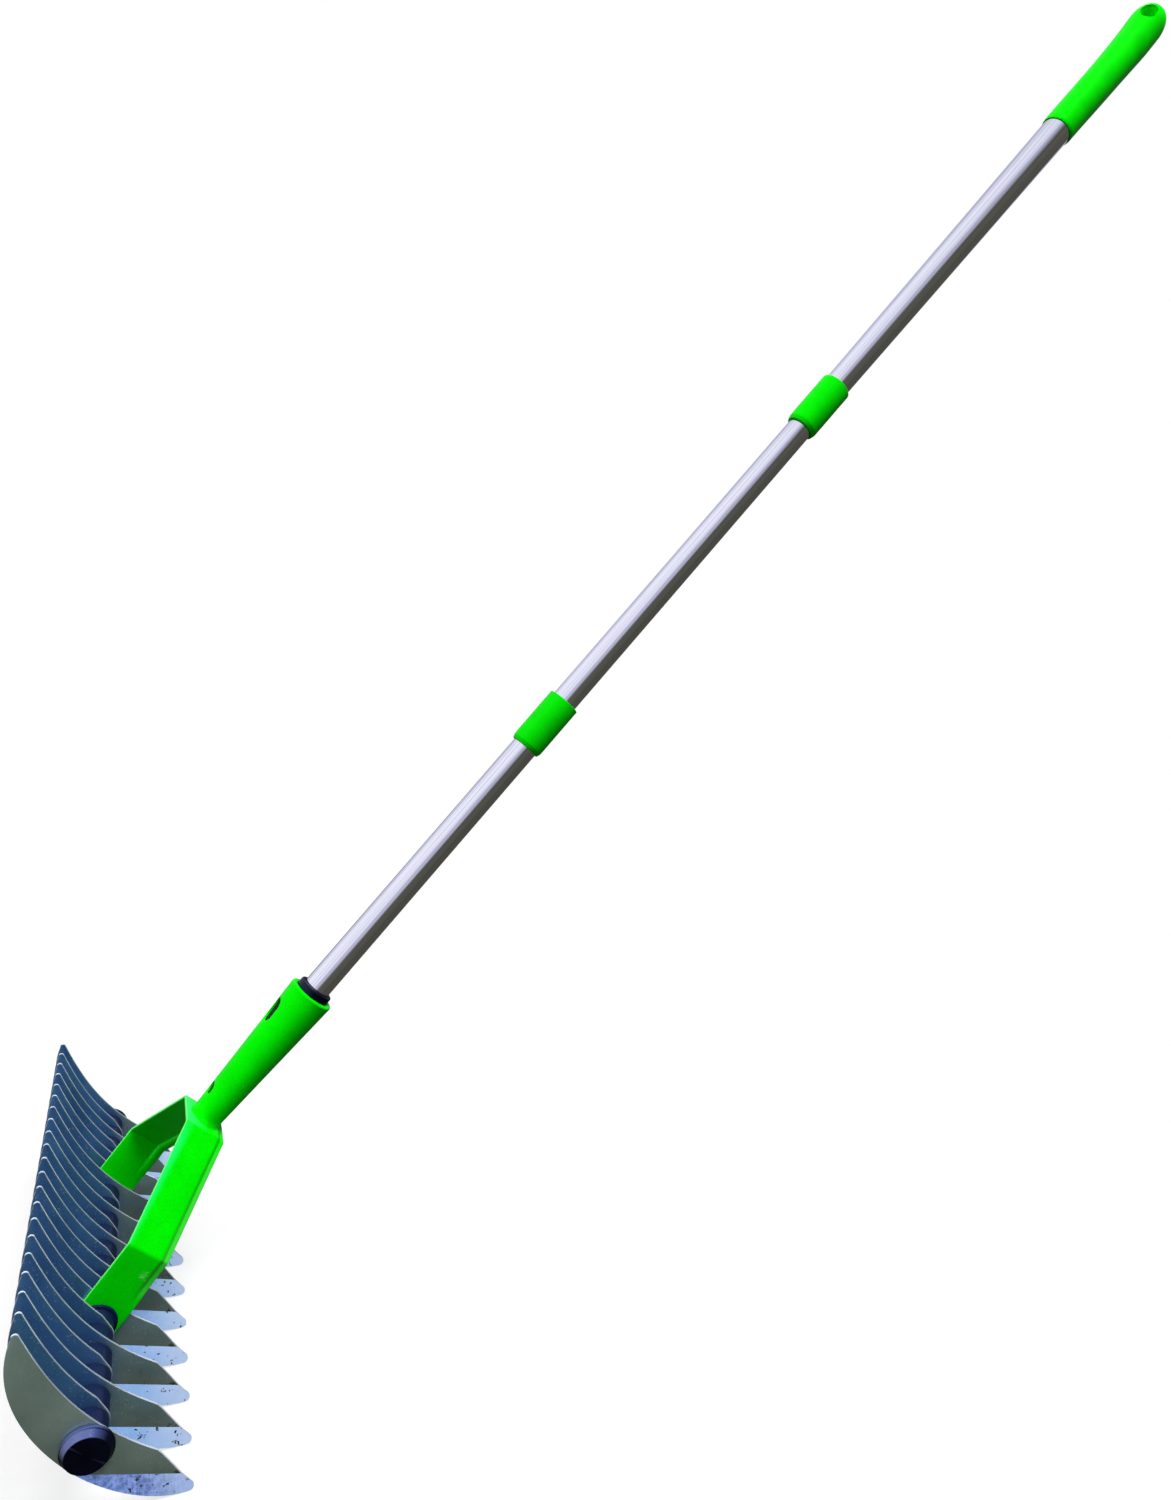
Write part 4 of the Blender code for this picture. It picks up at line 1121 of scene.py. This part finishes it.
def plug(seat):
    """Screw below a tube's seat, with a shank inside the tube."""
    foot = -THREAD_L - THREAD_RUNOUT
    rows = [(PLUG_R - 3.2, foot), (PLUG_R - 2.2, foot + 0.3)]
    steps = 120
    for k in range(steps + 1):
        z = foot + 0.8 + (-foot - 0.8) * k / steps
        rows.append((thread(PLUG_R - 1.05, 1.05, THREAD_PITCH, z, (z - foot) / 2.4,
                            (0.4 - z) / 1.2), z))
    rows += [(PLUG_R - 0.2, 0.2), (SHANK_R, 1.1), (SHANK_R, SHANK_L - 1.6),
             (SHANK_R - 1.4, SHANK_L)]
    return raw_mesh("plug", *revolve(rows, 72, capped=True), up_handle(seat))


def collar(foot):
    """Joint between two tubes, with the thread between their two bores."""
    thread_foot, thread_top = FOOT_L, COLLAR_L - MOUTH_L
    rows = fillet([(TUBE_BORE_R, 0.0), (COLLAR_R - 1.2, 0.0), (COLLAR_R - 0.15, 3.4),
                   (COLLAR_R, 6.0), (COLLAR_R, 24.0), (COLLAR_R, COLLAR_L),
                   (TUBE_BORE_R, COLLAR_L)], [0.3, 0.9, 2.0, 0, 0, 0.45, 0.3], 6)
    rows += [(TUBE_BORE_R, thread_top + 0.3), (THREAD_BORE_R + 0.7, thread_top)]
    rows += bore_thread(thread_top, thread_foot, 0.3, 96)
    rows += [(THREAD_BORE_R + 0.7, thread_foot), (TUBE_BORE_R, thread_foot - 0.3)]
    return raw_mesh("collar", *revolve(rows, 96), up_handle(foot))


def grip_radius(z):
    swell = 0.5 - 0.5 * math.cos(math.pi * min(1.0, max(0.0, (z - 70.0) / 65.0)))
    return 14.8 + 0.005 * z + 0.9 * swell - 0.5 * max(0.0, 1.0 - z / 3.0) ** 2


def grip_bend(z):
    """Shift of the grip's outer skin towards +y."""
    hollow = math.sin(math.pi * min(1.0, max(0.0, (z - 20.0) / 110.0)))
    end = min(1.0, max(0.0, (z - 112.0) / 42.0))
    return 0.5 * hollow - 1.6 * smoothstep(end)


def grip():
    """Bore, rounded lip, swelling body and domed end; z is from its foot."""
    depth = GRIP_BORE_END - GRIP_FOOT
    lip = 0.25
    rows = [(GRIP_BORE_R, depth), (GRIP_BORE_R, 0.3), (GRIP_BORE_R + 0.15, 0.0)]
    for k in range(6):
        turn = math.pi / 2 * k / 5
        rows.append((grip_radius(0) - lip + lip * math.sin(turn), lip - lip * math.cos(turn)))
    rows += [(grip_radius(z), z) for z in (0.9, 1.3, 1.8, 2.4, 3.0, 5.0)]
    rows += [(grip_radius(z), z) for z in [8.0 + 116.0 * k / 48 for k in range(49)]]
    rows += [(grip_radius(128.0) + 0.05, 128.0), (grip_radius(132.0) + 0.09, 132.0)]
    dome_foot, dome_r = 136.0, grip_radius(134.0) + 0.1
    dome = GRIP_END - GRIP_FOOT - dome_foot
    for k in range(19):
        turn = math.radians(90.0 * k / 18.2)
        rows.append((dome_r * math.cos(turn) ** 0.6, dome_foot + dome * math.sin(turn)))
    verts, faces = revolve(rows, 128, capped=True)

    def in_bore(x, y, z):
        return z < depth + 0.01 and math.hypot(x, y) < GRIP_BORE_R + 0.2
    verts = [(x, y if in_bore(x, y, z) else y + grip_bend(z), z) for x, y, z in verts]
    mesh = raw_mesh("grip_raw", verts, faces, up_handle(GRIP_FOOT))
    # hanging hole, its mouths flared to follow the grip: (growth, z from the axis)
    flare = ((0, 10.5), (0.35, 12.6), (1.0, 13.9), (2.2, 15.2), (2.6, 18.0))
    rows = ([(HANG_R + growth, -z) for growth, z in reversed(flare)]
            + [(HANG_R + growth, z) for growth, z in flare])
    basis = up_handle(HANG_Z, math.radians(HANG_TURN)) @ Matrix.Rotation(math.pi / 2, 4, "X")
    return carve(mesh, [raw_mesh("hang", *revolve(rows, 64, capped=True), basis)])


def build_handle():
    for part, seat, end in (
            ("lower", INSERT_TOP - SOCKET_MOUTH_L, COLLAR_1 + FOOT_L),
            ("middle", COLLAR_1 + COLLAR_L - MOUTH_L, COLLAR_2 + FOOT_L),
            ("upper", COLLAR_2 + COLLAR_L - MOUTH_L, GRIP_BORE_END)):
        z = seat + GAP
        length = end - GAP - z
        node = "tube_" + part
        mesh = upper_tube(length, z) if part == "upper" else plain_tube(node, length, z)
        piece(mesh, part + "_section", node, ("tube_steel",), 30)
        piece(plug(z), part + "_screw", "screw_plug_" + part, ("grey_plastic",), 35)
    green = ("green_plastic",)
    piece(collar(COLLAR_1), "lower_section", "collar_lower", green, 35)
    piece(collar(COLLAR_2), "middle_section", "collar_upper", green, 35)
    piece(grip(), "upper_section", "grip", green, 35)


build_blades()
build_sleeves()
build_rod()
build_axle_ends()
build_yoke()
build_socket()
build_insert()
build_handle()


# ------------------------------------------------------------ floor and light
FLOOR_Z = CAD_BOX[0].z - 0.0004
FLOOR_HALF = 9
WHITE = (1.0, 1.0, 1.0)


def floor_material():
    """Matt white that glows more away from the head, so that floor and
    backdrop meet without a line."""
    look = Look("floor")
    at = look.coords()
    look.finish({
        "Base Color": mix(look.tree, at.noise(scale=6, detail=3),
                          low=(0.90, 0.90, 0.90), high=(0.94, 0.94, 0.94)),
        "Roughness": 0.9,
        "Specular IOR Level": 0.0})
    glow = add_node(look.tree, "Emission", 0, {"Color": WHITE})
    share = at.distance((0.0, 0.0, FLOOR_Z)).ramp(lo=0.25, hi=0.95, to=(0.72, 1.0), smooth=True)
    matt = Signal(look.tree, look.shader.outputs[0])
    blended = add_node(look.tree, "MixShader", 0, {0: share, 1: matt, 2: glow})
    wire(look.tree, blended, look.tree.nodes["Material Output"].inputs["Surface"])
    return look.material


def build_floor():
    mesh = bpy.data.meshes.new("floor")
    mesh.from_pydata([(x * FLOOR_HALF, y * FLOOR_HALF, FLOOR_Z)
                      for x, y in ((-1, -1), (1, -1), (1, 1), (-1, 1))], [], [(0, 1, 2, 3)])
    floor = link("floor", mesh)
    mesh.materials.append(floor_material())
    floor.visible_glossy = False
    floor.visible_diffuse = False


def build_world():
    """White to the camera, a dim grey to matt surfaces, and to glossy ones a
    sky on the handle's upper side and a bright wall towards -x."""
    world = bpy.data.worlds.new("studio")
    bpy.context.scene.world = world
    world.use_nodes = True
    tree = world.node_tree
    tree.nodes.clear()
    output = tree.nodes.new("ShaderNodeOutputWorld")
    way = add_node(tree, "TexCoord", "Generated")
    rays = tree.nodes.new("ShaderNodeLightPath")
    upper = way.dot(UPPER_SIDE)
    x, _, z = way.split()
    bright = upper.ramp(lo=0.0, hi=0.34, smooth=True)
    wall = x.ramp(lo=-0.25, hi=-0.40) * z.ramp(lo=-0.02, hi=0.06)
    bright = bright.highest(wall)
    ground = upper.ramp(lo=-1.0, hi=0.0).colours(low=(0.075, 0.074, 0.058),
                                                 high=(0.112, 0.112, 0.088))
    sky = upper.ramp(lo=0.10, hi=0.95, smooth=True).colours(low=(0.50, 0.51, 0.64),
                                                            high=(0.96, 0.97, 1.05))
    gloss = bright.colours(low=ground, high=sky)
    soft = z.ramp(lo=-0.6, hi=0.6).colours(low=(0.07, 0.07, 0.07), high=(0.26, 0.26, 0.26))
    colour = Signal(tree, rays.outputs["Is Glossy Ray"]).colours(low=soft, high=gloss)
    lit = add_node(tree, "Background", 0, {"Color": colour, "Strength": 1.0})
    seen = add_node(tree, "Background", 0, {"Color": WHITE})
    camera_ray = Signal(tree, rays.outputs["Is Camera Ray"])
    surface = add_node(tree, "MixShader", 0, {0: camera_ray, 1: lit, 2: seen})
    wire(tree, surface, output.inputs["Surface"])


LIGHT_AIM, LIGHT_DISTANCE = Vector((0.0, 0.35, 0.3)), 4.0


def softbox(name, direction, size, watts):
    """Round area light, placed from the aim point in a direction."""
    data = bpy.data.lights.new(name, "AREA")
    data.shape = "DISK"
    data.size = size
    data.energy = watts
    data.color = WHITE
    light = link(name, data)
    where = LIGHT_AIM + LIGHT_DISTANCE * Vector(direction)
    light.location = where
    light.rotation_euler = (LIGHT_AIM - where).to_track_quat("-Z", "Y").to_euler()
    light.visible_glossy = False


def build_camera():
    data = bpy.data.cameras.new("camera")
    camera = link("camera", data)
    data.lens = 25.2
    data.sensor_width = 36.0
    data.sensor_fit = "AUTO"
    data.clip_start, data.clip_end = 0.01, 60.0
    right = (0.3765947, 0.9263781, 0.0)
    upward = (-0.1922506, 0.0781544, 0.9782288)
    backward = (0.9062098, -0.3683958, 0.2075293)
    position = (0.8056060, -0.0028630, 0.4558117)
    camera.matrix_world = Matrix((*zip(right, upward, backward, position), (0, 0, 0, 1)))
    bpy.context.scene.camera = camera


build_floor()
build_world()
softbox("key", direction=(0.33, 0.25, 0.91), size=2.0, watts=205)
softbox("fill", direction=(0.10, -0.70, 0.70), size=2.0, watts=70)
bpy.context.scene.view_settings.view_transform = "Standard"
bpy.context.scene.view_settings.look = "None"
build_camera()
